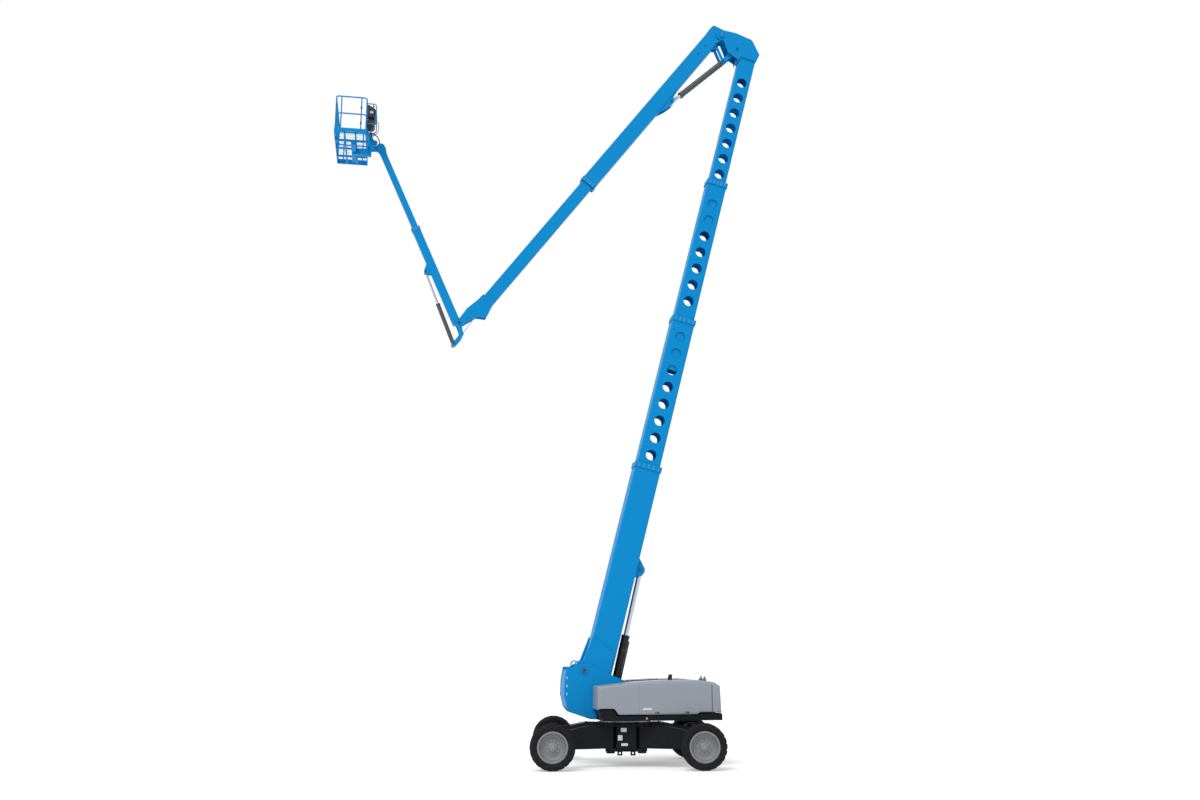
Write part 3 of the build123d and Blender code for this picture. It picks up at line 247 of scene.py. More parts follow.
class NodeGroups:
    """Shader node groups that the finishes share, each built once."""

    def __init__(self) -> None:
        """Builds the groups."""
        self.film = self._film()
        self.grain = self._grain()

    @staticmethod
    def _noise(g: bpy.types.NodeTree, vector: bpy.types.NodeSocket, scale: float, detail: float,
               stretch: tuple[float, float, float] = (1.0, 1.0, 1.0)) -> bpy.types.NodeSocket:
        """Adds a noise texture on a stretched vector.

        Args:
            g: The node tree.
            vector: The vector's socket.
            scale: The noise's scale.
            detail: Its detail.
            stretch: Scale of each axis first.

        Returns:
            The noise's factor.
        """
        mapping = g.nodes.new("ShaderNodeMapping")
        mapping.inputs["Scale"].default_value = stretch
        g.links.new(vector, mapping.inputs["Vector"])
        noise = g.nodes.new("ShaderNodeTexNoise")
        noise.inputs["Scale"].default_value = scale
        noise.inputs["Detail"].default_value = detail
        g.links.new(mapping.outputs[0], noise.inputs["Vector"])
        return noise.outputs["Fac"]

    @staticmethod
    def _span(g: bpy.types.NodeTree, value: bpy.types.NodeSocket, low: float, high: float, to_low: float,
              to_high: float) -> bpy.types.NodeSocket:
        """Adds a map range node.

        Args:
            g: The node tree.
            value: The value's socket.
            low: From minimum.
            high: From maximum.
            to_low: To minimum.
            to_high: To maximum.

        Returns:
            The result's socket.
        """
        m = g.nodes.new("ShaderNodeMapRange")
        for key, q in (("From Min", low), ("From Max", high), ("To Min", to_low), ("To Max", to_high)):
            m.inputs[key].default_value = q
        g.links.new(value, m.inputs["Value"])
        return m.outputs["Result"]

    def _film(self) -> bpy.types.NodeTree:
        """Makes the group that varies a colour, streaks it downwards and dusts it near the ground.

        Returns:
            The node group.
        """
        g = bpy.data.node_groups.new("PaintFilm", "ShaderNodeTree")
        socket(g, "Colour", "Color", (0.5, 0.5, 0.5, 1))
        for name, value in (("Dust", 0.15), ("Tint", 0.06), ("Streak", 0.04), ("Rough", 0.4)):
            socket(g, name, "Float", value)
        socket(g, "Colour", "Color", way="OUTPUT")
        socket(g, "Rough", "Float", way="OUTPUT")
        n, l = g.nodes, g.links
        gi, go = n.new("NodeGroupInput"), n.new("NodeGroupOutput")
        place = n.new("ShaderNodeTexCoord").outputs["Object"]
        cloud = figure(g, "SUBTRACT", self._noise(g, place, 1.3, 4.0), 0.5)
        runs = figure(g, "SUBTRACT", self._noise(g, place, 5.0, 5.0, (3.0, 3.0, 0.35)), 0.5)
        cloud = figure(g, "MULTIPLY", cloud, gi.outputs["Tint"])
        runs = figure(g, "MULTIPLY", runs, gi.outputs["Streak"])
        value = figure(g, "ADD", figure(g, "ADD", cloud, runs), 1.0)
        hsv = n.new("ShaderNodeHueSaturation")
        l.new(gi.outputs["Colour"], hsv.inputs["Color"])
        l.new(value, hsv.inputs["Value"])
        sep = n.new("ShaderNodeSeparateXYZ")
        l.new(place, sep.inputs[0])
        low = self._span(g, sep.outputs["Z"], 0.0, 1.6, 1.0, 0.12)
        specks = self._span(g, self._noise(g, place, 14.0, 6.0), 0.42, 0.78, 0.0, 1.0)
        mask = figure(g, "MULTIPLY", figure(g, "MULTIPLY", low, specks), gi.outputs["Dust"])
        mix = n.new("ShaderNodeMix")
        mix.data_type = "RGBA"
        l.new(mask, mix.inputs["Factor"])
        l.new(hsv.outputs["Color"], mix.inputs["A"])
        mix.inputs["B"].default_value = (0.42, 0.39, 0.34, 1)
        l.new(mix.outputs["Result"], go.inputs["Colour"])
        fine = figure(g, "MULTIPLY", figure(g, "SUBTRACT", self._noise(g, place, 3.1, 6.0), 0.5), 0.12)
        l.new(figure(g, "ADD", figure(g, "ADD", gi.outputs["Rough"], mask), fine), go.inputs["Rough"])
        return g

    def _grain(self) -> bpy.types.NodeTree:
        """Makes the group that gives a fine surface height.

        Returns:
            The node group.
        """
        g = bpy.data.node_groups.new("SurfaceGrain", "ShaderNodeTree")
        socket(g, "Scale", "Float", 60.0)
        socket(g, "Height", "Float", way="OUTPUT")
        n, l = g.nodes, g.links
        gi, go = n.new("NodeGroupInput"), n.new("NodeGroupOutput")
        tc = n.new("ShaderNodeTexCoord")
        noise = n.new("ShaderNodeTexNoise")
        noise.inputs["Detail"].default_value = 3
        l.new(tc.outputs["Object"], noise.inputs["Vector"])
        l.new(gi.outputs["Scale"], noise.inputs["Scale"])
        l.new(noise.outputs["Fac"], go.inputs["Height"])
        return g


class Paintshop:
    """Makes each finish's material once."""

    def __init__(self) -> None:
        """Builds the shared groups."""
        self.groups = NodeGroups()
        self.made: dict[str, bpy.types.Material] = {}

    def material(self, f: Finish) -> bpy.types.Material:
        """Makes a finish's material, or gives the one made before.

        Args:
            f: The finish.

        Returns:
            The material.
        """
        if f.name in self.made:
            return self.made[f.name]
        m = bpy.data.materials.new(f.name)
        m.use_nodes = True
        n, l = m.node_tree.nodes, m.node_tree.links
        bsdf = n["Principled BSDF"]
        film = n.new("ShaderNodeGroup")
        film.node_tree = self.groups.film
        film.inputs["Colour"].default_value = (*f.colour, 1)
        for key, value in (("Dust", f.dust), ("Tint", f.tint), ("Streak", f.streak), ("Rough", f.rough)):
            film.inputs[key].default_value = value
        l.new(film.outputs["Colour"], bsdf.inputs["Base Color"])
        l.new(film.outputs["Rough"], bsdf.inputs["Roughness"])
        bsdf.inputs["Metallic"].default_value = f.metallic
        bsdf.inputs["Coat Weight"].default_value = f.coat
        bsdf.inputs["Coat Roughness"].default_value = 0.2
        bsdf.inputs["Specular IOR Level"].default_value = f.shine
        if f.grain_depth:
            grain = n.new("ShaderNodeGroup")
            grain.node_tree = self.groups.grain
            grain.inputs["Scale"].default_value = f.grain_scale
            bump = n.new("ShaderNodeBump")
            bump.inputs["Strength"].default_value = 0.4
            bump.inputs["Distance"].default_value = f.grain_depth
            l.new(grain.outputs["Height"], bump.inputs["Height"])
            l.new(bump.outputs["Normal"], bsdf.inputs["Normal"])
        self.made[f.name] = m
        return m

    def paint(self, obj: bpy.types.Object, f: Finish) -> None:
        """Gives every slot of an object one finish.

        Args:
            obj: The object to paint.
            f: The finish.
        """
        m = self.material(f)
        if not obj.material_slots:
            obj.data.materials.append(m)
        for s in obj.material_slots:
            s.material = m


class Repeats:
    """Geometry Nodes trees that place one small part many times."""

    def __init__(self) -> None:
        """Builds the ring tree and the row tree."""
        self.ring_tree = self._tree("RingOfParts", ring=True)
        self.row_tree = self._tree("RowOfParts", ring=False)

    @staticmethod
    def _tree(name: str, ring: bool) -> bpy.types.NodeTree:
        """Makes one tree that instances a part on points.

        Args:
            name: The tree's name.
            ring: True for a ring about Z, False for a straight row.

        Returns:
            The node tree.
        """
        g = bpy.data.node_groups.new(name, "GeometryNodeTree")
        inputs = [("Geometry", "Geometry"), ("Part", "Object"), ("Count", "Int", 8)]
        inputs += [("Radius", "Float", 0.1), ("Turn", "Float")] if ring else [("Step", "Vector")]
        for values in (*inputs, ("Finish", "Material")):
            socket(g, *values)
        socket(g, "Geometry", "Geometry", way="OUTPUT")
        n, l = g.nodes, g.links
        gi, go = n.new("NodeGroupInput"), n.new("NodeGroupOutput")
        info = n.new("GeometryNodeObjectInfo")
        l.new(gi.outputs["Part"], info.inputs["Object"])
        put = n.new("GeometryNodeInstanceOnPoints")
        l.new(info.outputs["Geometry"], put.inputs["Instance"])
        if ring:
            dots = n.new("GeometryNodePoints")
            l.new(gi.outputs["Count"], dots.inputs["Count"])
            share = figure(g, "DIVIDE", n.new("GeometryNodeInputIndex").outputs[0], gi.outputs["Count"])
            angle = figure(g, "MULTIPLY_ADD", share, math.tau, gi.outputs["Turn"])
            place, face_out = n.new("ShaderNodeCombineXYZ"), n.new("ShaderNodeCombineXYZ")
            for k, op in enumerate(("COSINE", "SINE")):
                l.new(figure(g, "MULTIPLY", figure(g, op, angle), gi.outputs["Radius"]), place.inputs[k])
            moved = n.new("GeometryNodeSetPosition")
            l.new(dots.outputs[0], moved.inputs["Geometry"])
            l.new(place.outputs[0], moved.inputs["Position"])
            l.new(angle, face_out.inputs[2])
            l.new(moved.outputs[0], put.inputs["Points"])
            l.new(face_out.outputs[0], put.inputs["Rotation"])
        else:
            line = n.new("GeometryNodeMeshLine")
            line.mode = "OFFSET"
            l.new(gi.outputs["Count"], line.inputs["Count"])
            l.new(gi.outputs["Step"], line.inputs["Offset"])
            l.new(line.outputs[0], put.inputs["Points"])
        real, coat = n.new("GeometryNodeRealizeInstances"), n.new("GeometryNodeSetMaterial")
        l.new(put.outputs[0], real.inputs[0])
        l.new(real.outputs[0], coat.inputs["Geometry"])
        l.new(gi.outputs["Finish"], coat.inputs["Material"])
        l.new(coat.outputs[0], go.inputs["Geometry"])
        return g

    def _run(self, tree: bpy.types.NodeTree, part: bpy.types.Mesh,
             values: dict[str, object]) -> bpy.types.Mesh:
        """Evaluates a tree on an empty host and takes its mesh.

        Args:
            tree: The tree.
            part: The mesh to repeat.
            values: The tree's inputs by name.

        Returns:
            The plain mesh.
        """
        made = linked("PartToRepeat", part)
        host = linked("RepeatHost", bpy.data.meshes.new("RepeatHost"))
        mod = host.modifiers.new("Repeat", "NODES")
        mod.node_group = tree
        ids = {i.name: i.identifier for i in tree.interface.items_tree
               if i.item_type == "SOCKET" and i.in_out == "INPUT"}
        mod[ids["Part"]] = made
        for name, value in values.items():
            mod[ids[name]] = value
        seen = host.evaluated_get(bpy.context.evaluated_depsgraph_get())
        mesh = bpy.data.meshes.new_from_object(seen)
        host.modifiers.remove(mod)
        bpy.data.objects.remove(host)
        bpy.data.objects.remove(made)
        return mesh

    def ring(self, part: bpy.types.Mesh, finish: bpy.types.Material, count: int, radius: float,
             turn: float = 0.0) -> bpy.types.Mesh:
        """Repeats a part round the Z axis.

        Args:
            part: The mesh to repeat.
            finish: Its material.
            count: How many.
            radius: The ring's radius in metres.
            turn: The first one's angle in degrees.

        Returns:
            The ring as one mesh.
        """
        return self._run(self.ring_tree, part, {"Count": count, "Radius": radius, "Turn": math.radians(turn),
                                                "Finish": finish})

    def row(self, part: bpy.types.Mesh, finish: bpy.types.Material, count: int,
            step: tuple[float, float, float]) -> bpy.types.Mesh:
        """Repeats a part along a straight line.

        Args:
            part: The mesh to repeat.
            finish: Its material.
            count: How many.
            step: The offset from one to the next in metres.

        Returns:
            The row as one mesh.
        """
        return self._run(self.row_tree, part, {"Count": count, "Step": step, "Finish": finish})


@dataclass(frozen=True)
class Axis:
    """A line in the side view: its foot from the slew axis, and its angle above +X."""

    x: float
    z: float
    angle: float

    def at(self, s: float, n: float = 0.0, y: float = 0.0) -> Vector:
        """Gives a point of the line's own axes in the row frame.

        Args:
            s: Distance along the line.
            n: Offset square to it, in the side view.
            y: Offset to the far side.

        Returns:
            The point.
        """
        a = math.radians(self.angle)
        return Vector((SLEW_X + self.x + s * math.cos(a) - n * math.sin(a), y,
                       self.z + s * math.sin(a) + n * math.cos(a)))

    def place(self, s: float, n: float = 0.0, y: float = 0.0) -> Matrix:
        """Gives axes at a point, X along the line and Z to the side that the point is on.

        Args:
            s: Distance along the line.
            n: Offset square to it.
            y: Offset to the far side; on the line itself, Z is to the near side.

        Returns:
            The matrix.
        """
        a = math.radians(self.angle)
        c, d = math.cos(a), math.sin(a)
        p = self.at(s, n, y)
        near = Matrix(((c, -d, 0, p.x), (0, 0, -1, p.y), (d, c, 0, p.z), (0, 0, 0, 1)))
        return near if y <= 0 else near @ Matrix.Rotation(math.pi, 4, "X")

    def onward(self, s: float, n: float = 0.0, y: float = 0.0) -> Matrix:
        """Gives axes at a point with Z along the line and X to the far side.

        Args:
            s: Distance along the line.
            n: Offset square to it.
            y: Offset to the far side.

        Returns:
            The matrix.
        """
        a = math.radians(self.angle)
        c, d = math.cos(a), math.sin(a)
        p = self.at(s, n, y)
        return Matrix(((0, d, c, p.x), (-1, 0, 0, p.y), (0, -c, d, p.z), (0, 0, 0, 1)))


def upright(x: float, y: float, z: float, turn: float = 0.0) -> Matrix:
    """Gives upright axes at a point from the slew axis.

    Args:
        x: Distance along X from the slew axis.
        y: Distance along Y.
        z: Height.
        turn: Heading in degrees.

    Returns:
        The matrix.
    """
    return Matrix.Translation((SLEW_X + x, y, z)) @ Matrix.Rotation(math.radians(turn), 4, "Z")


def foot_of(axis: Axis, s: float, n: float, angle: float) -> Axis:
    """Starts a new axis at a point of another.

    Args:
        axis: The axis that carries it.
        s: Distance along it.
        n: Offset square to it.
        angle: The new axis's angle.

    Returns:
        The new axis.
    """
    p = axis.at(s, n)
    return Axis(p.x - SLEW_X, p.z, angle)


PIVOT = Axis(-1.170, 2.430, 75.7)
PRIM = foot_of(PIVOT, 0.0, -0.412, 75.7)
UPPER = foot_of(PRIM, 19.420, 0.967, -127.4)
JIB = foot_of(UPPER, 12.270, -0.386, 114.2)
HEAD = foot_of(JIB, 5.620, 0.205, 0.0)
SIDE = Axis(0.0, 0.0, 0.0)


def bent(points: list[Vector], radius: float, steps: int = 5) -> list[Vector]:
    """Rounds the corners of a rigid pipe's centre line.

    Args:
        points: The corners.
        radius: The bend radius.
        steps: Points in each bend.

    Returns:
        The centre line.
    """
    line = [points[0]]
    for a, b, c in zip(points, points[1:], points[2:]):
        u, w = (a - b).normalized(), (c - b).normalized()
        half = u.angle(w) / 2
        reach = min(radius / math.tan(half), (a - b).length / 2.05, (c - b).length / 2.05)
        p, q = b + u * reach, b + w * reach
        for k in range(steps + 1):
            t = k / steps
            line.append(p * (1 - t) ** 2 + b * 2 * t * (1 - t) + q * t ** 2)
    line.append(points[-1])
    return line


class Shape:
    """One piece in the making: closed forms in the row frame, each face with its finish."""

    def __init__(self, shop: Paintshop, tools: Repeats) -> None:
        """Starts an empty piece.

        Args:
            shop: The paint shop.
            tools: The repeat trees.
        """
        self.shop, self.tools = shop, tools
        self.bm = bmesh.new()
        self.finishes: list[Finish] = []

    def _take(self, part: bmesh.types.BMesh, at: Matrix, finish: Finish) -> None:
        """Moves a part into place and adds it.

        Args:
            part: The part, which is freed.
            at: Its place.
            finish: Its finish.
        """
        if finish not in self.finishes:
            self.finishes.append(finish)
        bmesh.ops.recalc_face_normals(part, faces=part.faces[:])
        part.transform(at)
        for f in part.faces:
            f.material_index = self.finishes.index(finish)
            f.smooth = True
        me = to_mesh(part, "Part")
        self.bm.from_mesh(me)
        bpy.data.meshes.remove(me)

    def mesh(self, me: bpy.types.Mesh, at: Matrix, finish: Finish) -> None:
        """Adds a finished mesh.

        Args:
            me: The mesh, which is removed.
            at: Its place.
            finish: Its finish.
        """
        part = bmesh.new()
        part.from_mesh(me)
        bpy.data.meshes.remove(me)
        self._take(part, at, finish)

    def prism(self, outline: list[tuple[float, float]], low: float, high: float, at: Matrix, finish: Finish,
              bevel: float = 0.0) -> None:
        """Adds an outline in the XY plane, extruded along Z, with its edges eased.

        Args:
            outline: The corners in order.
            low: Where it starts along Z.
            high: Where it ends.
            at: Its place.
            finish: Its finish.
            bevel: Width of the eased edges.
        """
        part = bmesh.new()
        skin(part, [[part.verts.new((x, y, z)) for x, y in outline] for z in (low, high)])
        if bevel:
            bmesh.ops.bevel(part, geom=part.edges[:], offset=bevel, segments=2, profile=0.6, affect="EDGES",
                            clamp_overlap=True)
        self._take(part, at, finish)

    def block(self, size: tuple[float, float, float], at: Matrix, finish: Finish,
              bevel: float = 0.004) -> None:
        """Adds a block with eased edges, centred in X and Y, its foot on the place.

        Args:
            size: Its size.
            at: Its place.
            finish: Its finish.
            bevel: Width of the eased edges.
        """
        x, y = size[0] / 2, size[1] / 2
        self.prism([(-x, -y), (x, -y), (x, y), (-x, y)], 0.0, size[2], at, finish, bevel)

    def lathe(self, profile: list[tuple[float, float]], at: Matrix, finish: Finish, steps: int = 32) -> None:
        """Adds a profile turned about Z; one that leaves the axis is closed on itself.

        Args:
            profile: Radius and height, in order.
            at: Its place.
            finish: Its finish.
            steps: Steps round the axis.
        """
        part = bmesh.new()
        rows = []
        for r, h in profile:
            rows.append([part.verts.new((x, y, h)) for x, y in round_points(r, steps if r > 1e-6 else 1)])
        pairs = list(zip(rows, rows[1:]))
        if profile[0][0] > 1e-6:
            pairs.append((rows[-1], rows[0]))
        for a, b in pairs:
            for k in range(steps):
                m = (k + 1) % steps
                if len(a) == 1 and len(b) == 1:
                    continue
                if len(a) == 1:
                    part.faces.new((a[0], b[k], b[m]))
                elif len(b) == 1:
                    part.faces.new((a[k], b[0], a[m]))
                else:
                    part.faces.new((a[k], b[k], b[m], a[m]))
        self._take(part, at, finish)

    def pipe(self, line: list[Vector], radius: float, finish: Finish, sides: int = 12,
             closed: bool = False) -> None:
        """Adds a round pipe along a line in the row frame.

        Args:
            line: The centre line.
            radius: The pipe's radius.
            finish: Its finish.
            sides: Sides round it.
            closed: True where the line ends at its start.
        """
        part = bmesh.new()
        count = len(line)
        tangents = []
        for k in range(count):
            a = line[(k - 1) % count] if closed or k else line[0]
            b = line[(k + 1) % count] if closed or k < count - 1 else line[-1]
            tangents.append((b - a).normalized())
        side = tangents[0].orthogonal().normalized()
        rings = []
        for p, t in zip(line, tangents):
            side = (side - t * side.dot(t)).normalized()
            up = t.cross(side)
            rings.append([part.verts.new(p + side * x + up * y) for x, y in round_points(radius, sides)])
        for a, b in list(zip(rings, rings[1:])) + ([(rings[-1], rings[0])] if closed else []):
            shift = min(range(sides), key=lambda q: (a[0].co - b[q].co).length) if b is rings[0] else 0
            for k in range(sides):
                m = (k + 1) % sides
                part.faces.new((a[k], a[m], b[(m + shift) % sides], b[(k + shift) % sides]))
        if not closed:
            part.faces.new(rings[0][::-1])
            part.faces.new(rings[-1])
        self._take(part, Matrix.Identity(4), finish)

    def hexes(self, at: Matrix, finish: Finish, count: int, radius: float, size: float = 0.012,
              turn: float = 0.0) -> None:
        """Adds a ring of hexagon screw heads on washers.

        Args:
            at: The ring's centre, its Z out of the surface.
            finish: Their finish.
            count: How many.
            radius: The ring's radius.
            size: A head's radius.
            turn: The first one's angle in degrees.
        """
        self.mesh(self.tools.ring(self.screw(size), self.shop.material(finish), count, radius, turn), at,
                  finish)

    def screws(self, at: Matrix, finish: Finish, count: int, step: tuple[float, float, float],
               size: float = 0.012) -> None:
        """Adds a straight row of hexagon screw heads on washers.

        Args:
            at: The first one's place, its Z out of the surface.
            finish: Their finish.
            count: How many.
            step: The offset from one to the next, in the place's own axes.
            size: A head's radius.
        """
        self.mesh(self.tools.row(self.screw(size), self.shop.material(finish), count, step), at, finish)

    @staticmethod
    def screw(size: float) -> bpy.types.Mesh:
        """Makes one screw head on its washer.

        Args:
            size: The head's radius.

        Returns:
            The mesh.
        """
        bm = bmesh.new()
        for sides, r, low, high in ((12, size * 1.35, -0.002, size * 0.22),
                                    (6, size, size * 0.22, size * 0.85)):
            skin(bm, [[bm.verts.new((x, y, h)) for x, y in round_points(q, sides)]
                      for q, h in ((r, low), (r, high - size * 0.12), (r * 0.88, high))])
        return to_mesh(bm, "ScrewHead")

    def pin(self, at: Matrix, radius: float, finish: Finish, cap: Finish, screws: int = 4) -> None:
        """Adds a pin's end: a stepped collar, a dished face and its screws.

        Args:
            at: Centre of the pin's end face, its Z outwards.
            radius: The pin's radius.
            finish: The collar's finish.
            cap: The face's finish.
            screws: How many screws.
        """
        r = radius
        self.lathe([(r * 0.98, -0.004), (r * 1.32, -0.004), (r * 1.32, 0.008), (r * 1.24, 0.013),
                    (r * 0.98, 0.013)], at, finish)
        self.lathe([(0, -0.004), (r * 0.96, -0.004), (r * 0.96, 0.014), (r * 0.86, 0.019), (r * 0.3, 0.016),
                    (r * 0.22, 0.010), (0, 0.010)], at, cap)
        if screws:
            self.hexes(at @ Matrix.Translation((0, 0, 0.017)), FIT[Trim.BOLT], screws, r * 0.58,
                       max(r * 0.12, 0.007), 45)

    def plate(self, width: float, height: float, at: Matrix, finish: Finish, thick: float = 0.0016,
              corner: float = 0.008) -> None:
        """Adds a thin plate with rounded corners, centred, its back on the place.

        Args:
            width: Size along X.
            height: Size along Y.
            at: Its place.
            finish: Its finish.
            thick: Its thickness.
            corner: Its corner radius.
        """
        outline = []
        for cx, cy, a0 in ((1, 1, 0), (-1, 1, 90), (-1, -1, 180), (1, -1, 270)):
            for k in range(4):
                a = math.radians(a0 + 30 * k)
                outline.append((cx * (width / 2 - corner) + corner * math.cos(a),
                                cy * (height / 2 - corner) + corner * math.sin(a)))
        self.prism(outline, -0.002, thick, at, finish)

    def piece(self, name: str, body: str, slot: Slot, replaces: tuple[str, ...] = ()) -> bpy.types.Object:
        """Turns the forms into one object that rides on a body.

        Args:
            name: The piece's name.
            body: The CAD body that it moves with.
            slot: The record's slot that it goes with; not used.
            replaces: CAD nodes that it stands for.

        Returns:
            The object.
        """
        me = to_mesh(self.bm, name)
        for f in self.finishes:
            me.materials.append(self.shop.material(f))
        me.set_sharp_from_angle(angle=math.radians(32))
        obj = linked(name, me)
        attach(obj, body)
        if replaces:
            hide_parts(*replaces)
        log.info("made %s on %s with %d faces", name, body, len(me.polygons))
        return obj


TAGS = {"left_near": (-1, -1), "left_far": (-1, 1), "right_near": (1, -1), "right_far": (1, 1)}
CHASSIS = Matrix.Translation((SLEW_X, 0, 0)) @ Matrix.Rotation(math.radians(-8), 4, "Z")


@dataclass(frozen=True)
class Maker:
    """A sub-assembly's maker, with the paint shop and the repeat trees that it uses."""

    shop: Paintshop
    tools: Repeats

    def shape(self) -> Shape:
        """Starts an empty piece."""
        return Shape(self.shop, self.tools)


@dataclass(frozen=True)
class Wheel(Maker):
    """A treaded tyre on its dished rim, Z outwards from the tyre's middle."""

    half_base: float = 1.905
    half_track: float = 1.7475
    axle_z: float = 0.5775
    outer: float = 0.5772
    lugs: int = 22

    def lug(self, way: int) -> bpy.types.Mesh:
        """Makes one slanted lug from the tread's middle to its shoulder.

        Args:
            way: 1 for the outer row, -1 for the inner one.

        Returns:
            The mesh.
        """
        bm = bmesh.new()
        rows = []
        for z, top, lean, half in ((0.006, self.outer, -0.045, 0.030), (0.12, self.outer, 0.012, 0.037),
                                   (0.15, 0.572, 0.026, 0.040), (0.18, 0.560, 0.034, 0.043),
                                   (0.205, 0.531, 0.040, 0.043), (0.2182, 0.5155, 0.042, 0.040)):
            low = top - 0.030
            turns = [(r, (lean + side * half * (1 if r == top else 1.2)) / r)
                     for r, side in ((top, -1), (top, 1), (low, 1), (low, -1))]
            rows.append([bm.verts.new((r * math.cos(a), r * math.sin(a), way * z)) for r, a in turns])
        skin(bm, rows)
        return to_mesh(bm, "Lug")

    def build(self) -> None:
        """Makes the four wheels."""
        carcass = [(0.365, 0.178), (0.385, 0.190), (0.420, 0.207), (0.455, 0.2205), (0.495, 0.2211),
                   (0.525, 0.213), (0.546, 0.186), (0.5545, 0.120), (0.556, 0.0)]
        carcass += [(r, -z) for r, z in carcass[-2::-1]]
        rim = [(0, 0.105), (0.088, 0.105), (0.097, 0.099), (0.120, 0.092), (0.122, 0.060), (0.150, 0.052),
               (0.220, 0.034), (0.285, 0.052), (0.315, 0.075), (0.330, 0.150), (0.345, 0.190), (0.358, 0.196),
               (0.3925, 0.1905), (0.3925, 0.1805), (0.3647, 0.1775), (0.3647, -0.1775), (0.3925, -0.1805),
               (0.3925, -0.188), (0.343, -0.186), (0.325, 0.020), (0.220, -0.002), (0.18, -0.006),
               (0, -0.006)]
        for tag, (ex, ey) in TAGS.items():
            hub = CHASSIS @ Matrix.Translation((ex * self.half_base, ey * self.half_track, self.axle_z)) \
                @ Matrix.Rotation(math.radians(-90 * ey), 4, "X")
            tyre = self.shape()
            rubber = FINISHES[Slot.TYRE]
            tyre.lathe(carcass, hub, rubber, 72)
            for way, turn in ((1, 0.0), (-1, 180 / self.lugs)):
                tyre.mesh(self.tools.ring(self.lug(way), self.shop.material(rubber), self.lugs, 0.0, turn),
                          hub, rubber)
            tyre.lathe([(0.470, 0.2195), (0.476, 0.2222), (0.482, 0.2195)], hub, rubber, 72)
            tyre.piece("Tyre_" + tag, "wheel_" + tag, Slot.TYRE, ("tyre_" + tag,))
            disc = self.shape()
            disc.lathe(rim, hub, FINISHES[Slot.RIM], 64)
            disc.hexes(hub @ Matrix.Translation((0, 0, 0.050)), FIT[Trim.BOLT], 10, 0.160, 0.017)
            disc.lathe([(0, 0.103), (0.086, 0.103), (0.086, 0.110), (0.078, 0.115), (0.034, 0.115),
                        (0.030, 0.124), (0, 0.126)], hub, FIT[Trim.TRAY], 40)
            disc.hexes(hub @ Matrix.Translation((0, 0, 0.115)), FIT[Trim.GUN], 8, 0.060, 0.008)
            disc.pipe([hub @ Vector((0.262, 0, z)) for z in (0.036, 0.075, 0.092)], 0.006, FIT[Trim.GUN], 8)
            disc.piece("Rim_" + tag, "wheel_" + tag, Slot.RIM, ("rim_" + tag,))


@dataclass(frozen=True)
class Chassis(Maker):
    """Trim of the chassis: post caps, bearing bolts, blank plates and the pipes along the arms."""

    post: tuple[float, float] = (0.410, 0.750)
    king: tuple[float, float] = (1.905, 1.290)
    post_top: float = 1.080
    panel_y: float = -0.947
    signs: tuple[tuple[float, ...], ...] = ((-0.075, 0.936, 0.150, 0.100), (-0.170, 0.740, 0.120, 0.130),
                                            (-0.056, 0.572, 0.170, 0.066))
    pipe_line: tuple[tuple[float, float], ...] = ((0.20, 1.015), (0.69, 1.015), (1.11, 0.930), (1.31, 0.885),
                                                  (1.37, 0.885))

    def build(self) -> None:
        """Makes the chassis's trim and the arms' pipes."""
        black, bolt, white = FINISHES[Slot.CHASSIS], FIT[Trim.BOLT], FIT[Trim.PLATE]
        trim = self.shape()
        for ex, ey in TAGS.values():
            cap = CHASSIS @ Matrix.Translation((ex * self.post[0], ey * self.post[1], self.post_top))
            trim.lathe([(0, -0.002), (0.068, -0.002), (0.068, 0.008), (0.060, 0.014), (0, 0.014)], cap, black,
                       32)
            trim.hexes(cap @ Matrix.Translation((0, 0, 0.014)), bolt, 4, 0.040, 0.010)
        trim.lathe([(0.640, 1.082), (0.698, 1.082), (0.698, 1.096), (0.690, 1.100), (0.640, 1.100)], CHASSIS,
                   black, 72)
        trim.hexes(CHASSIS @ Matrix.Translation((0, 0, 1.100)), bolt, 36, 0.675, 0.009)
        face = CHASSIS @ Matrix.Translation((0, self.panel_y, 0)) @ Matrix.Rotation(math.pi / 2, 4, "X")
        for x, z, w, h in self.signs:
            trim.plate(w, h, face @ Matrix.Translation((x, z, 0)), white)
        trim.piece("ChassisTrim", "chassis", Slot.CHASSIS)
        for tag, (ex, ey) in TAGS.items():
            a, b = Vector((ex * self.post[0], ey * self.post[1], 0)), Vector((ex * self.king[0],
                                                                              ey * self.king[1], 0))
            way = (b - a).normalized()
            side = Vector((-way.y, way.x, 0))
            pipes = self.shape()
            for off in (-0.030, 0.030):
                line = [CHASSIS @ (a + way * s + side * off + Vector((0, 0, z + 0.017)))
                        for s, z in self.pipe_line]
                pipes.pipe(bent(line, 0.06), 0.012, FIT[Trim.HOSE], 10)
            turn = CHASSIS @ Matrix(((way.x, side.x, 0, 0), (way.y, side.y, 0, 0), (0, 0, 1, 0),
                                     (0, 0, 0, 1)))
            root = (turn.inverted() @ CHASSIS @ a)
            for s, z in ((0.30, 1.013), (0.62, 1.013)):
                at = turn @ Matrix.Translation((root.x + s, root.y, z))
                pipes.block((0.030, 0.100, 0.034), at, black, 0.006)
                pipes.screws(at @ Matrix.Translation((0, 0, 0.033)), bolt, 1, (0, 0, 0), 0.008)
            pipes.piece("ArmPipes_" + tag, "arm_" + tag, Slot.CHASSIS)


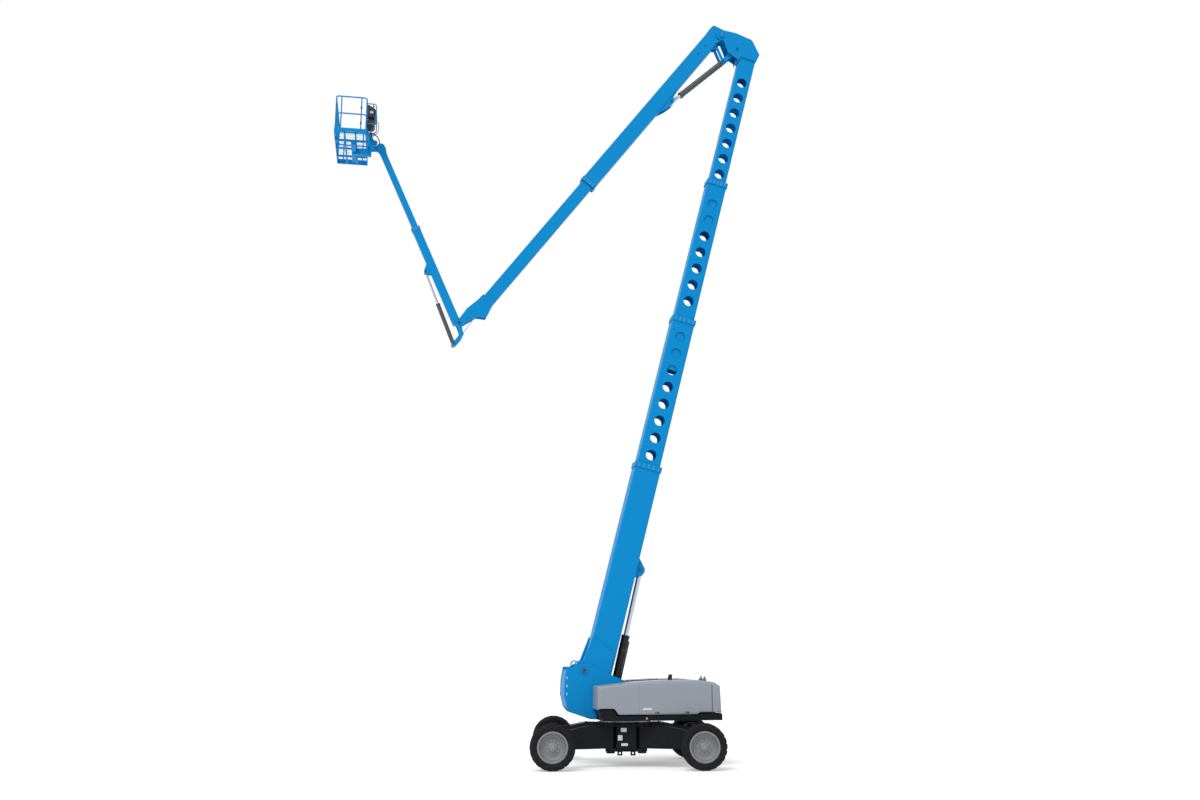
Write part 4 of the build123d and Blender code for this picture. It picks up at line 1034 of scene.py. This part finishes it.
@dataclass(frozen=True)
class Turntable(Maker):
    """Seams, latches, louvres, lenses and blank plates of the hoods and the deck, and pale blue plates of
    painted highlight on the tower.
    """

    hood_y: float = 1.200
    cheek_y: float = 0.395
    # Where the pale blue patches of painted highlight sit on the tower's cheeks.
    highlight_x: float = -1.620
    highlight_z: tuple[float, ...] = (2.24, 2.03, 1.83)
    latch_x: tuple[float, ...] = (0.62, 1.42)
    latch_z: float = 1.372
    lamps: tuple[tuple[float, float, float, Trim], ...] = ((1.855, -1.010, 2.2659, Trim.AMBER),
                                                           (2.055, -0.620, 2.2429, Trim.RED))
    lamp_lean: float = 6.56

    @staticmethod
    def louvre(width: float) -> bpy.types.Mesh:
        """Makes one pressed louvre that stands out of a panel.

        Args:
            width: Its width.

        Returns:
            The mesh, its Z out of the panel.
        """
        bm = bmesh.new()
        rows = [[bm.verts.new((sx * width / 2 * k, y, z)) for sx in (-1, 1)]
                for y, z, k in ((0.022, -0.002, 1.0), (0.016, 0.003, 0.99), (-0.012, 0.013, 0.95),
                                (-0.018, 0.012, 0.94), (-0.018, -0.002, 0.94))]
        for a, b in zip(rows, rows[1:] + rows[:1]):
            bm.faces.new((a[0], a[1], b[1], b[0]))
        bm.faces.new([r[0] for r in rows])
        bm.faces.new([r[1] for r in rows][::-1])
        return to_mesh(bm, "Louvre")

    def hood(self, near: bool) -> None:
        """Dresses one hood.

        Args:
            near: True for the hood on the near side.
        """
        up = 1 if near else -1
        wall = -up * self.hood_y
        grey, gun = FINISHES[Slot.HOOD], FIT[Trim.GUN]
        trim = self.shape()
        trim.plate(0.007, 0.770, SIDE.place(0.146, 1.690, wall), FIT[Trim.SEAM], 0.0008, 0.002)
        trim.plate(0.016, 0.720, SIDE.place(2.094, 1.710, wall), FIT[Trim.SEAL], 0.0016, 0.004)
        for x in self.latch_x:
            at = SIDE.place(x, self.latch_z, wall)
            trim.plate(0.110, 0.046, at, gun, 0.004, 0.010)
            trim.lathe([(0, -0.002), (0.016, -0.002), (0.016, 0.010), (0.013, 0.013), (0, 0.013)],
                       at @ Matrix.Translation((-0.026, 0, 0)), FIT[Trim.BOLT], 20)
            trim.prism([(-0.030, -0.009), (0.034, -0.007), (0.034, 0.007), (-0.030, 0.009)], 0.003, 0.014,
                       at @ Matrix.Translation((0.014, 0, 0)), FIT[Trim.SEAL], 0.003)
        if near:
            trim.plate(0.237, 0.046, SIDE.place(0.366, 1.467, wall), FIT[Trim.PLATE])
            for x, y, z, lens in self.lamps:
                trim.lathe([(0, -0.010), (0.030, -0.010), (0.030, 0.008), (0.022, 0.022), (0.010, 0.029),
                            (0, 0.030)], upright(x, y, z) @ Matrix.Rotation(math.radians(self.lamp_lean), 4,
                                                                            "Y"), FIT[lens], 24)
        else:
            trim.mesh(self.tools.row(self.louvre(0.34), self.shop.material(grey), 9, (0, 0.050 * up, 0)),
                      SIDE.place(1.300, 1.600, wall), grey)
            cap = SIDE.place(0.550, 1.900, wall)
            trim.lathe([(0, -0.004), (0.070, -0.004), (0.070, 0.012), (0.062, 0.022), (0.020, 0.024),
                        (0, 0.022)], cap, FIT[Trim.SEAL], 32)
        trim.piece("HoodTrim_" + ("near" if near else "far"), "hood_a" if near else "hood_b", Slot.HOOD)

    def build(self) -> None:
        """Dresses both hoods, the deck and the tower."""
        self.hood(True)
        self.hood(False)
        trim = self.shape()
        trim.lathe([(0, -0.003), (0.030, -0.003), (0.030, 0.004), (0.024, 0.012), (0.010, 0.015), (0, 0.015)],
                   SIDE.place(0.351, 1.229, -1.198), FIT[Trim.AMBER], 24)
        for y in (-self.cheek_y, self.cheek_y):
            trim.pin(SIDE.place(PIVOT.x, PIVOT.z, y + math.copysign(0.026, y)), 0.060, FINISHES[Slot.BOOM],
                     FIT[Trim.PIN], 4)
            # Pale blue plates on both cheeks of the tower are painted highlights.
            for z in self.highlight_z:
                trim.plate(0.035, 0.070, SIDE.place(self.highlight_x, z, y), FIT[Trim.PAINTED_HIGHLIGHT], corner=0.015)
        trim.piece("TurntableTrim", "turntable", Slot.BOOM)


@dataclass(frozen=True)
class Booms(Maker):
    """Collar screws, pin ends, pipes and hoses of the booms and cylinders."""

    end: tuple[float, ...] = (5.860, 10.300, 14.730)
    height: tuple[float, ...] = (0.730, 0.660, 0.590)
    width: tuple[float, ...] = (0.540, 0.470, 0.400)
    bodies: tuple[str, ...] = ("primary_base", "primary_mid_1", "primary_mid_2")
    lift_base: tuple[float, float] = (-0.406, 1.4465)
    lift_eye: tuple[float, float] = (0.454, 5.0965)
    strut: tuple[tuple[float, float], ...] = ((11.816, -0.167), (12.471, -0.118))

    @staticmethod
    def collar(trim: Shape, axis: Axis, s: float, middle: float, height: float, half: float,
               count: int) -> None:
        """Adds the screws of one collar on both of its sides.

        Args:
            trim: The piece in the making.
            axis: The boom's axis.
            s: The collar's middle along it.
            middle: The middle of its height.
            height: The screws' span.
            half: Half the collar's width.
            count: Screws on each side.
        """
        step = height / (count - 1)
        for y in (-half, half):
            for ds in (-0.030, 0.030):
                trim.screws(axis.place(s + ds, middle - height / 2, y), FIT[Trim.BOLT], count,
                            (0, -math.copysign(step, y), 0), 0.011)

    def build(self) -> None:
        """Makes the trim of every boom section."""
        blue, pin = FINISHES[Slot.BOOM], FIT[Trim.PIN]
        pins = {
            "primary_base": [(*self.lift_eye, 0.110, 0.045)],
            "primary_tip": [(UPPER.x, UPPER.z, 0.229, 0.060), (3.560, 20.970, 0.215, 0.035)],
            "upper_boom": [(2.930, 21.025, 0.137, 0.030), (1.490, 19.080, 0.140, 0.028)],
            "links": [(3.126, 20.564, 0.132, 0.030)],
            "upper_extension": [(JIB.x, JIB.z, 0.150, 0.035), (-4.810, 11.270, 0.150, 0.028)],
            "jib": [(-5.640, 13.330, 0.075, 0.026)],
            "level_head": [(HEAD.x, HEAD.z, 0.060, 0.028)],
        }
        pieces = {body: self.shape() for body in (*self.bodies, *pins)}
        for body, places in pins.items():
            for x, z, half, r in places:
                for y in (-half, half):
                    pieces[body].pin(SIDE.place(x, z, y), r, blue,
                                     blue if body == "primary_tip" and r > 0.05 else pin,
                                     4 if r > 0.04 else 0)
        for body, s, h, w in zip(self.bodies, self.end, self.height, self.width):
            self.collar(pieces[body], PRIM, s - 0.075, 0.0, h - 0.16, w / 2 + 0.024, 5)
        self.collar(pieces["upper_boom"], UPPER, 6.535, -0.180, 0.30, 0.183, 4)
        self.collar(pieces["jib"], JIB, 2.995, 0.060, 0.14, 0.107, 3)
        for y in (-0.165, 0.165):
            for s in (0.62, 0.98):
                pieces["upper_boom"].plate(0.060, 0.045, UPPER.place(s, -0.180, y), FIT[Trim.GUN], 0.003)
        strut = pieces["upper_extension"]
        strut.pipe([UPPER.at(s, n) for s, n in self.strut], 0.011, FINISHES[Slot.CHROME], 12)
        for s, n in self.strut:
            strut.prism([(-0.045, -0.030), (0.045, -0.030), (0.045, 0.030), (-0.045, 0.030)], -0.101, 0.101,
                        UPPER.place(s, n), blue, 0.008)
        for y in (-0.152, 0.152):
            pieces["primary_tip"].pipe(bent([PRIM.at(18.70, 0.300, y), PRIM.at(19.05, 0.420, y),
                                             PRIM.at(19.25, 0.700, y)], 0.12), 0.013, FIT[Trim.HOSE], 10)
        for body, shape in pieces.items():
            shape.piece("Trim_" + body, body, Slot.BOOM)
        (x, z), (eye_x, eye_z) = self.lift_base, self.lift_eye
        lift = Axis(x, z, math.degrees(math.atan2(eye_z - z, eye_x - x)))
        barrel = self.shape()
        for y in (-0.050, 0.050):
            line = [lift.at(s, n, y) for s, n in ((0.34, -0.090), (0.34, -0.124), (1.80, -0.124),
                                                  (1.80, -0.085))]
            barrel.pipe(bent(line, 0.03), 0.010, FIT[Trim.GUN], 10)
        for s in (0.55, 1.55):
            barrel.lathe([(0.1075, -0.016), (0.114, -0.016), (0.114, 0.016), (0.1075, 0.016)], lift.onward(s),
                         FIT[Trim.GUN], 40)
        barrel.piece("LiftBarrelPipes", "lift_cylinder", Slot.BARREL_BLACK)


@dataclass(frozen=True)
class Platform(Maker):
    """The work platform: floor frame and mesh, pipe rails, and console with its guard."""

    x0: float = -8.27498
    x1: float = -7.40498
    half: float = 1.070
    frame_z: float = 16.85043
    floor_z: float = 16.90043
    mid_z: float = 17.44543
    top_z: float = 17.94543
    rail_r: float = 0.019
    con_x: float = -7.40468

    def loop(self, z: float, corner: float = 0.110) -> list[Vector]:
        """Gives a rail's centre line with rounded corners.

        Args:
            z: Its height.
            corner: The corner radius outside.

        Returns:
            The points.
        """
        r = corner - self.rail_r
        mx, hx, hy = (self.x0 + self.x1) / 2, (self.x1 - self.x0) / 2 - corner, self.half - corner
        line = []
        for cx, cy, a0 in ((1, 1, 0), (-1, 1, 90), (-1, -1, 180), (1, -1, 270)):
            for k in range(6):
                a = math.radians(a0 + 18 * k)
                line.append(Vector((SLEW_X + mx + cx * hx + r * math.cos(a), cy * hy + r * math.sin(a), z)))
        return line

    def floor(self) -> None:
        """Makes the floor: a frame of bars under an open mesh."""
        blue = FINISHES[Slot.BOOM]
        piece = self.shape()
        long, wide, tall = self.x1 - self.x0, 2 * self.half, self.floor_z - self.frame_z
        mx = (self.x0 + self.x1) / 2
        for k in range(4):
            edge = 0.0225 if k in (0, 3) else 0.045
            x = self.x0 + long * k / 3 + (0.01125 if k == 0 else -0.01125 if k == 3 else 0)
            piece.block((edge, wide, tall), upright(x, 0, self.frame_z), blue, 0.005)
        for k in range(5):
            edge = 0.0225 if k in (0, 4) else 0.045
            y = -self.half + wide * k / 4 + (0.01125 if k == 0 else -0.01125 if k == 4 else 0)
            piece.block((long - 0.02, edge, tall - 0.004), upright(mx, y, self.frame_z + 0.002), blue, 0.005)
        for size, start, count, step in (((0.0055, wide - 0.088, 0.006), (self.x0 + 0.060, 0, 0.001), 17,
                                          (0.047, 0, 0)), ((long - 0.088, 0.005, 0.005),
                                                           (mx, -self.half + 0.070, 0.006), 14,
                                          (0, 0.154, 0))):
            rod = self.shape()
            rod.block(size, Matrix.Identity(4), blue, 0.001)
            at = upright(start[0], start[1], self.floor_z + start[2])
            piece.mesh(self.tools.row(to_mesh(rod.bm, "MeshRod"), self.shop.material(blue), count, step), at,
                       blue)
        piece.piece("PlatformFloor", "platform", Slot.BOOM, ("platform_floor",))

    def rails(self) -> None:
        """Makes the pipe rails, the posts and the toe band."""
        blue = FINISHES[Slot.BOOM]
        piece = self.shape()
        for z in (self.mid_z, self.top_z):
            piece.pipe(self.loop(z), self.rail_r, blue, 14, closed=True)
        mx = (self.x0 + self.x1) / 2
        spots = [(x, k * (self.half - 0.150) / 2)
                 for x in (self.x0 + 0.019, self.x1 - 0.019) for k in (-2, -1, 0, 1, 2)]
        spots += [(mx + dx, y) for y in (-self.half + 0.019, self.half - 0.019) for dx in (-0.265, 0.278)]
        for x, y in spots:
            piece.pipe([Vector((SLEW_X + x, y, z)) for z in (self.floor_z - 0.02, self.top_z)], 0.018, blue,
                       12)
        long, wide = self.x1 - self.x0, 2 * self.half
        for sx in (-1, 1):
            piece.block((0.006, wide, 0.110), upright(mx + sx * (long / 2 - 0.003), 0, self.floor_z), blue,
                        0.002)
            piece.block((long, 0.006, 0.110), upright(mx, sx * (self.half - 0.003), self.floor_z), blue,
                        0.002)
        for z in (self.mid_z - 0.26, self.mid_z + 0.20):
            piece.lathe([(0.018, -0.030), (0.024, -0.028), (0.024, 0.028), (0.018, 0.030)],
                        upright(mx + 0.278, -self.half + 0.019, z), FIT[Trim.GUN], 20)
        piece.piece("PlatformRails", "platform", Slot.BOOM, ("platform_rails",))

    def console(self) -> None:
        """Makes the console with its controls, and the guard round it."""
        black, gun = FINISHES[Slot.CONSOLE], FIT[Trim.GUN]
        x = self.con_x
        box = self.shape()
        box.prism([(x, 17.560), (x, 17.900), (x + 0.030, 17.912), (x + 0.205, 17.800), (x + 0.226, 17.770),
                   (x + 0.226, 17.600), (x + 0.190, 17.560)], 0.170, 0.730, SIDE.place(0, 0), black, 0.012)
        box.prism([(x, 17.330), (x, 17.552), (x + 0.150, 17.552), (x + 0.205, 17.500), (x + 0.205, 17.380),
                   (x + 0.160, 17.330)], 0.240, 0.640, SIDE.place(0, 0), gun, 0.014)
        slope = Matrix.Translation((SLEW_X + x + 0.120, -0.450, 17.856)) @ Matrix.Rotation(math.radians(32.6),
                                                                                           4, "Y")
        box.plate(0.170, 0.500, slope, FIT[Trim.TRAY], 0.003, 0.012)
        for y in (-0.180, 0.0, 0.180):
            at = slope @ Matrix.Translation((0.020, y, 0.003))
            box.lathe([(0, -0.002), (0.030, -0.002), (0.028, 0.010), (0.016, 0.020), (0.008, 0.030),
                       (0.006, 0.055), (0.014, 0.062), (0.015, 0.084), (0.008, 0.092), (0, 0.092)], at,
                      FIT[Trim.SEAL], 20)
        box.lathe([(0, -0.002), (0.012, -0.002), (0.012, 0.012), (0.022, 0.016), (0.022, 0.028),
                   (0.012, 0.034), (0, 0.034)], slope @ Matrix.Translation((-0.045, 0.090, 0.003)),
                  FIT[Trim.RED], 24)
        knob = self.shape()
        knob.lathe([(0, -0.001), (0.007, -0.001), (0.007, 0.006), (0.0035, 0.008), (0.003, 0.022),
                    (0, 0.024)], Matrix.Identity(4), gun, 12)
        toggles = self.tools.row(to_mesh(knob.bm, "Toggle"), self.shop.material(gun), 8, (0, 0.036, 0))
        box.mesh(toggles, slope @ Matrix.Translation((-0.060, -0.220, 0.003)), gun)
        box.plate(0.090, 0.060, SIDE.place(x + 0.110, 17.690, -0.730), FIT[Trim.PLATE])
        box.piece("Console", "platform", Slot.CONSOLE, ("console",))
        guard = self.shape()
        r = 0.014
        for y in (-0.760, -0.140):
            line = [Vector((SLEW_X + px, y, pz)) for px, pz in
                    ((x, 17.925), (x + 0.242, 17.925), (x + 0.242, 17.330), (x, 17.330))]
            guard.pipe(bent(line, 0.090), r, FINISHES[Slot.BOOM], 12)
        for px, pz in ((x + 0.150, 17.925), (x + 0.242, 17.740), (x + 0.242, 17.430)):
            guard.pipe([Vector((SLEW_X + px, y, pz)) for y in (-0.760, -0.140)], r * 0.9, FINISHES[Slot.BOOM],
                       12)
        guard.piece("ConsoleGuard", "platform", Slot.BOOM, ("console_guard",))

    def build(self) -> None:
        """Makes the platform's pieces."""
        self.floor()
        self.rails()
        self.console()


@dataclass(frozen=True)
class Hose:
    """One free hose or cable: its route from the slew axis, and its facts."""

    name: str
    body: str
    route: tuple[tuple[float, float, float], ...]
    diameter: float
    length: float
    finish: Finish
    stiffness: str = "medium"

    def build(self, shop: Paintshop) -> None:
        """Args:
            shop: The paint shop.
        """
        curve = bpy.data.curves.new(self.name, "CURVE")
        curve.dimensions = "3D"
        spline = curve.splines.new("NURBS")
        spline.points.add(len(self.route) - 1)
        for point, (x, y, z) in zip(spline.points, self.route):
            point.co = (SLEW_X + x, y, z, 1.0)
        spline.order_u = 3
        spline.use_endpoint_u = True
        spline.resolution_u = 12
        curve.bevel_depth = self.diameter / 2
        curve.bevel_resolution = 4
        curve.use_fill_caps = True
        curve.materials.append(shop.material(self.finish))
        obj = linked(self.name, curve)
        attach(obj, self.body)
        x, y, z = self.route[0]


def route_length(route: tuple[tuple[float, float, float], ...]) -> float:
    """Measures the smooth curve of a route.

    Args:
        route: Its control points.

    Returns:
        The length in metres.
    """
    p = [Vector(q) for q in route]
    ends = [p[0]] + [(a + b) / 2 for a, b in zip(p[1:-1], p[2:-1])] + [p[-1]]
    total = 0.0
    for a, b, c in zip(ends, p[1:-1], ends[1:]):
        last = a
        for k in range(1, 17):
            t = k / 16
            here = a * (1 - t) ** 2 + b * 2 * t * (1 - t) + c * t ** 2
            total += (here - last).length
            last = here
    return total


CONSOLE_CABLE = ((-7.300, -0.450, 17.345), (-7.300, -0.450, 17.270), (-7.240, -0.470, 17.130),
                 (-7.120, -0.520, 17.140), (-7.080, -0.560, 17.300), (-7.090, -0.560, 17.460),
                 (-7.150, -0.540, 17.500), (-7.190, -0.520, 17.490))
CONSOLE_HOSE = ((-7.330, -0.380, 17.345), (-7.330, -0.380, 17.270), (-7.300, -0.340, 17.170),
                (-7.220, -0.220, 17.200), (-7.200, -0.110, 17.330), (-7.250, -0.050, 17.370),
                (-7.290, -0.020, 17.375))
HEAD_HOSE = ((-7.290, 0.020, 17.360), (-7.240, 0.030, 17.400), (-7.120, 0.090, 17.330),
             (-7.060, 0.110, 17.200), (-7.070, 0.100, 17.110), (-7.105, 0.085, 17.080))


@dataclass
class Studio:
    """Floor, light and camera, as the photograph has them."""

    lens: float = 34.74
    camera_at: tuple[float, float, float] = (-6.2028, -31.3999, 2.93)
    pitch: float = 12.23
    yaw: float = 10.0
    reach: float = 400.0
    floor_half: float = 220.0
    floor_grey: float = 0.86
    floor_glow: float = 0.34
    sky_light: float = 0.62
    sun_light: float = 1.35
    sun_spread: float = 28.0
    sun_way: tuple[float, float, float] = (0.45, 0.62, -1.0)

    def camera(self) -> None:
        """Places the camera."""
        data = bpy.data.cameras.new("PhotoCamera")
        data.lens = self.lens
        data.sensor_width = 36.0
        data.clip_end = self.reach
        cam = linked("PhotoCamera", data)
        x, y, z = self.camera_at
        cam.location = (x + SLEW_X, y, z)
        cam.rotation_euler = (math.radians(90 + self.pitch), 0, math.radians(-self.yaw))
        bpy.context.scene.camera = cam

    @staticmethod
    def seen(tree: bpy.types.NodeTree) -> bpy.types.NodeSocket:
        """Gives 1 on camera, glossy and transmission rays.

        Args:
            tree: The node tree.

        Returns:
            The socket.
        """
        path = tree.nodes.new("ShaderNodeLightPath")
        value = path.outputs["Is Camera Ray"]
        for name in ("Is Glossy Ray", "Is Transmission Ray"):
            value = figure(tree, "MAXIMUM", value, path.outputs[name])
        return value

    def floor(self) -> None:
        """Lays a pale floor that shows white to the camera and keeps its shadow."""
        me = bpy.data.meshes.new("StudioFloor")
        s = self.floor_half
        me.from_pydata([(-s, -s, 0), (s, -s, 0), (s, s, 0), (-s, s, 0)], [], [(0, 1, 2, 3)])
        floor = linked("StudioFloor", me)
        m = bpy.data.materials.new("PaleFloor")
        m.use_nodes = True
        n, l = m.node_tree.nodes, m.node_tree.links
        n.clear()
        out, diffuse, glow = (n.new(k) for k in ("ShaderNodeOutputMaterial", "ShaderNodeBsdfDiffuse",
                                                 "ShaderNodeEmission"))
        diffuse.inputs["Color"].default_value = (*(self.floor_grey,) * 3, 1)
        glow.inputs["Color"].default_value = (1, 1, 1, 1)
        add = n.new("ShaderNodeAddShader")
        l.new(figure(m.node_tree, "MULTIPLY", self.seen(m.node_tree), self.floor_glow),
              glow.inputs["Strength"])
        l.new(diffuse.outputs[0], add.inputs[0])
        l.new(glow.outputs[0], add.inputs[1])
        l.new(add.outputs[0], out.inputs["Surface"])
        me.materials.append(m)

    def world(self) -> None:
        """Sets a plain sky that is white to the camera and in reflections."""
        w = bpy.data.worlds.new("StudioWorld")
        bpy.context.scene.world = w
        w.use_nodes = True
        n, l = w.node_tree.nodes, w.node_tree.links
        n.clear()
        out, soft, white, mix = (n.new(k) for k in ("ShaderNodeOutputWorld", "ShaderNodeBackground",
                                                    "ShaderNodeBackground", "ShaderNodeMixShader"))
        for sky, strength in ((soft, self.sky_light), (white, 1.0)):
            sky.inputs["Color"].default_value = (1, 1, 1, 1)
            sky.inputs["Strength"].default_value = strength
        l.new(self.seen(w.node_tree), mix.inputs["Fac"])
        l.new(soft.outputs[0], mix.inputs[1])
        l.new(white.outputs[0], mix.inputs[2])
        l.new(mix.outputs[0], out.inputs["Surface"])

    def sun(self) -> None:
        """Adds one soft sun from the upper left, behind the camera."""
        data = bpy.data.lights.new("SoftSun", "SUN")
        data.energy = self.sun_light
        data.angle = math.radians(self.sun_spread)
        sun = linked("SoftSun", data)
        sun.rotation_euler = Vector(self.sun_way).to_track_quat("-Z", "Y").to_euler()

    def build(self) -> None:
        """Builds the whole studio."""
        self.camera()
        self.floor()
        self.world()
        self.sun()
        bpy.context.scene.view_settings.view_transform = "Standard"


def dress_nodes(frame: dict, shop: Paintshop) -> None:
    """Gives every CAD node the finish of its slot.

    Args:
        shop: The paint shop.
    """
    slots = {s["node"]: s["material_slot"] for s in frame["record"]["subparts"]}
    for node, obj in frame["nodes"].items():
        shop.paint(obj, FINISHES[Slot(slots[node])])
        log.info("painted %s", node)


def main() -> None:
    """Loads the frame, dresses it and builds the studio."""
    logging.basicConfig(level=logging.INFO, format="%(message)s")
    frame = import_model()
    Studio().build()
    shop, tools = Paintshop(), Repeats()
    dress_nodes(frame, shop)
    Hose("ConsoleCable", "platform", CONSOLE_CABLE, 0.022, round(route_length(CONSOLE_CABLE), 3),
         FIT[Trim.CABLE], "medium").build(shop)
    Hose("ConsoleHose", "platform", CONSOLE_HOSE, 0.030, round(route_length(CONSOLE_HOSE), 3),
         FIT[Trim.HOSE], "medium").build(shop)
    Hose("HeadHose", "level_head", HEAD_HOSE, 0.030, round(route_length(HEAD_HOSE), 3),
         FIT[Trim.HOSE], "medium").build(shop)
    for maker in (Wheel, Chassis, Turntable, Booms, Platform):
        maker(shop, tools).build()


if __name__ == "__main__":
    main()
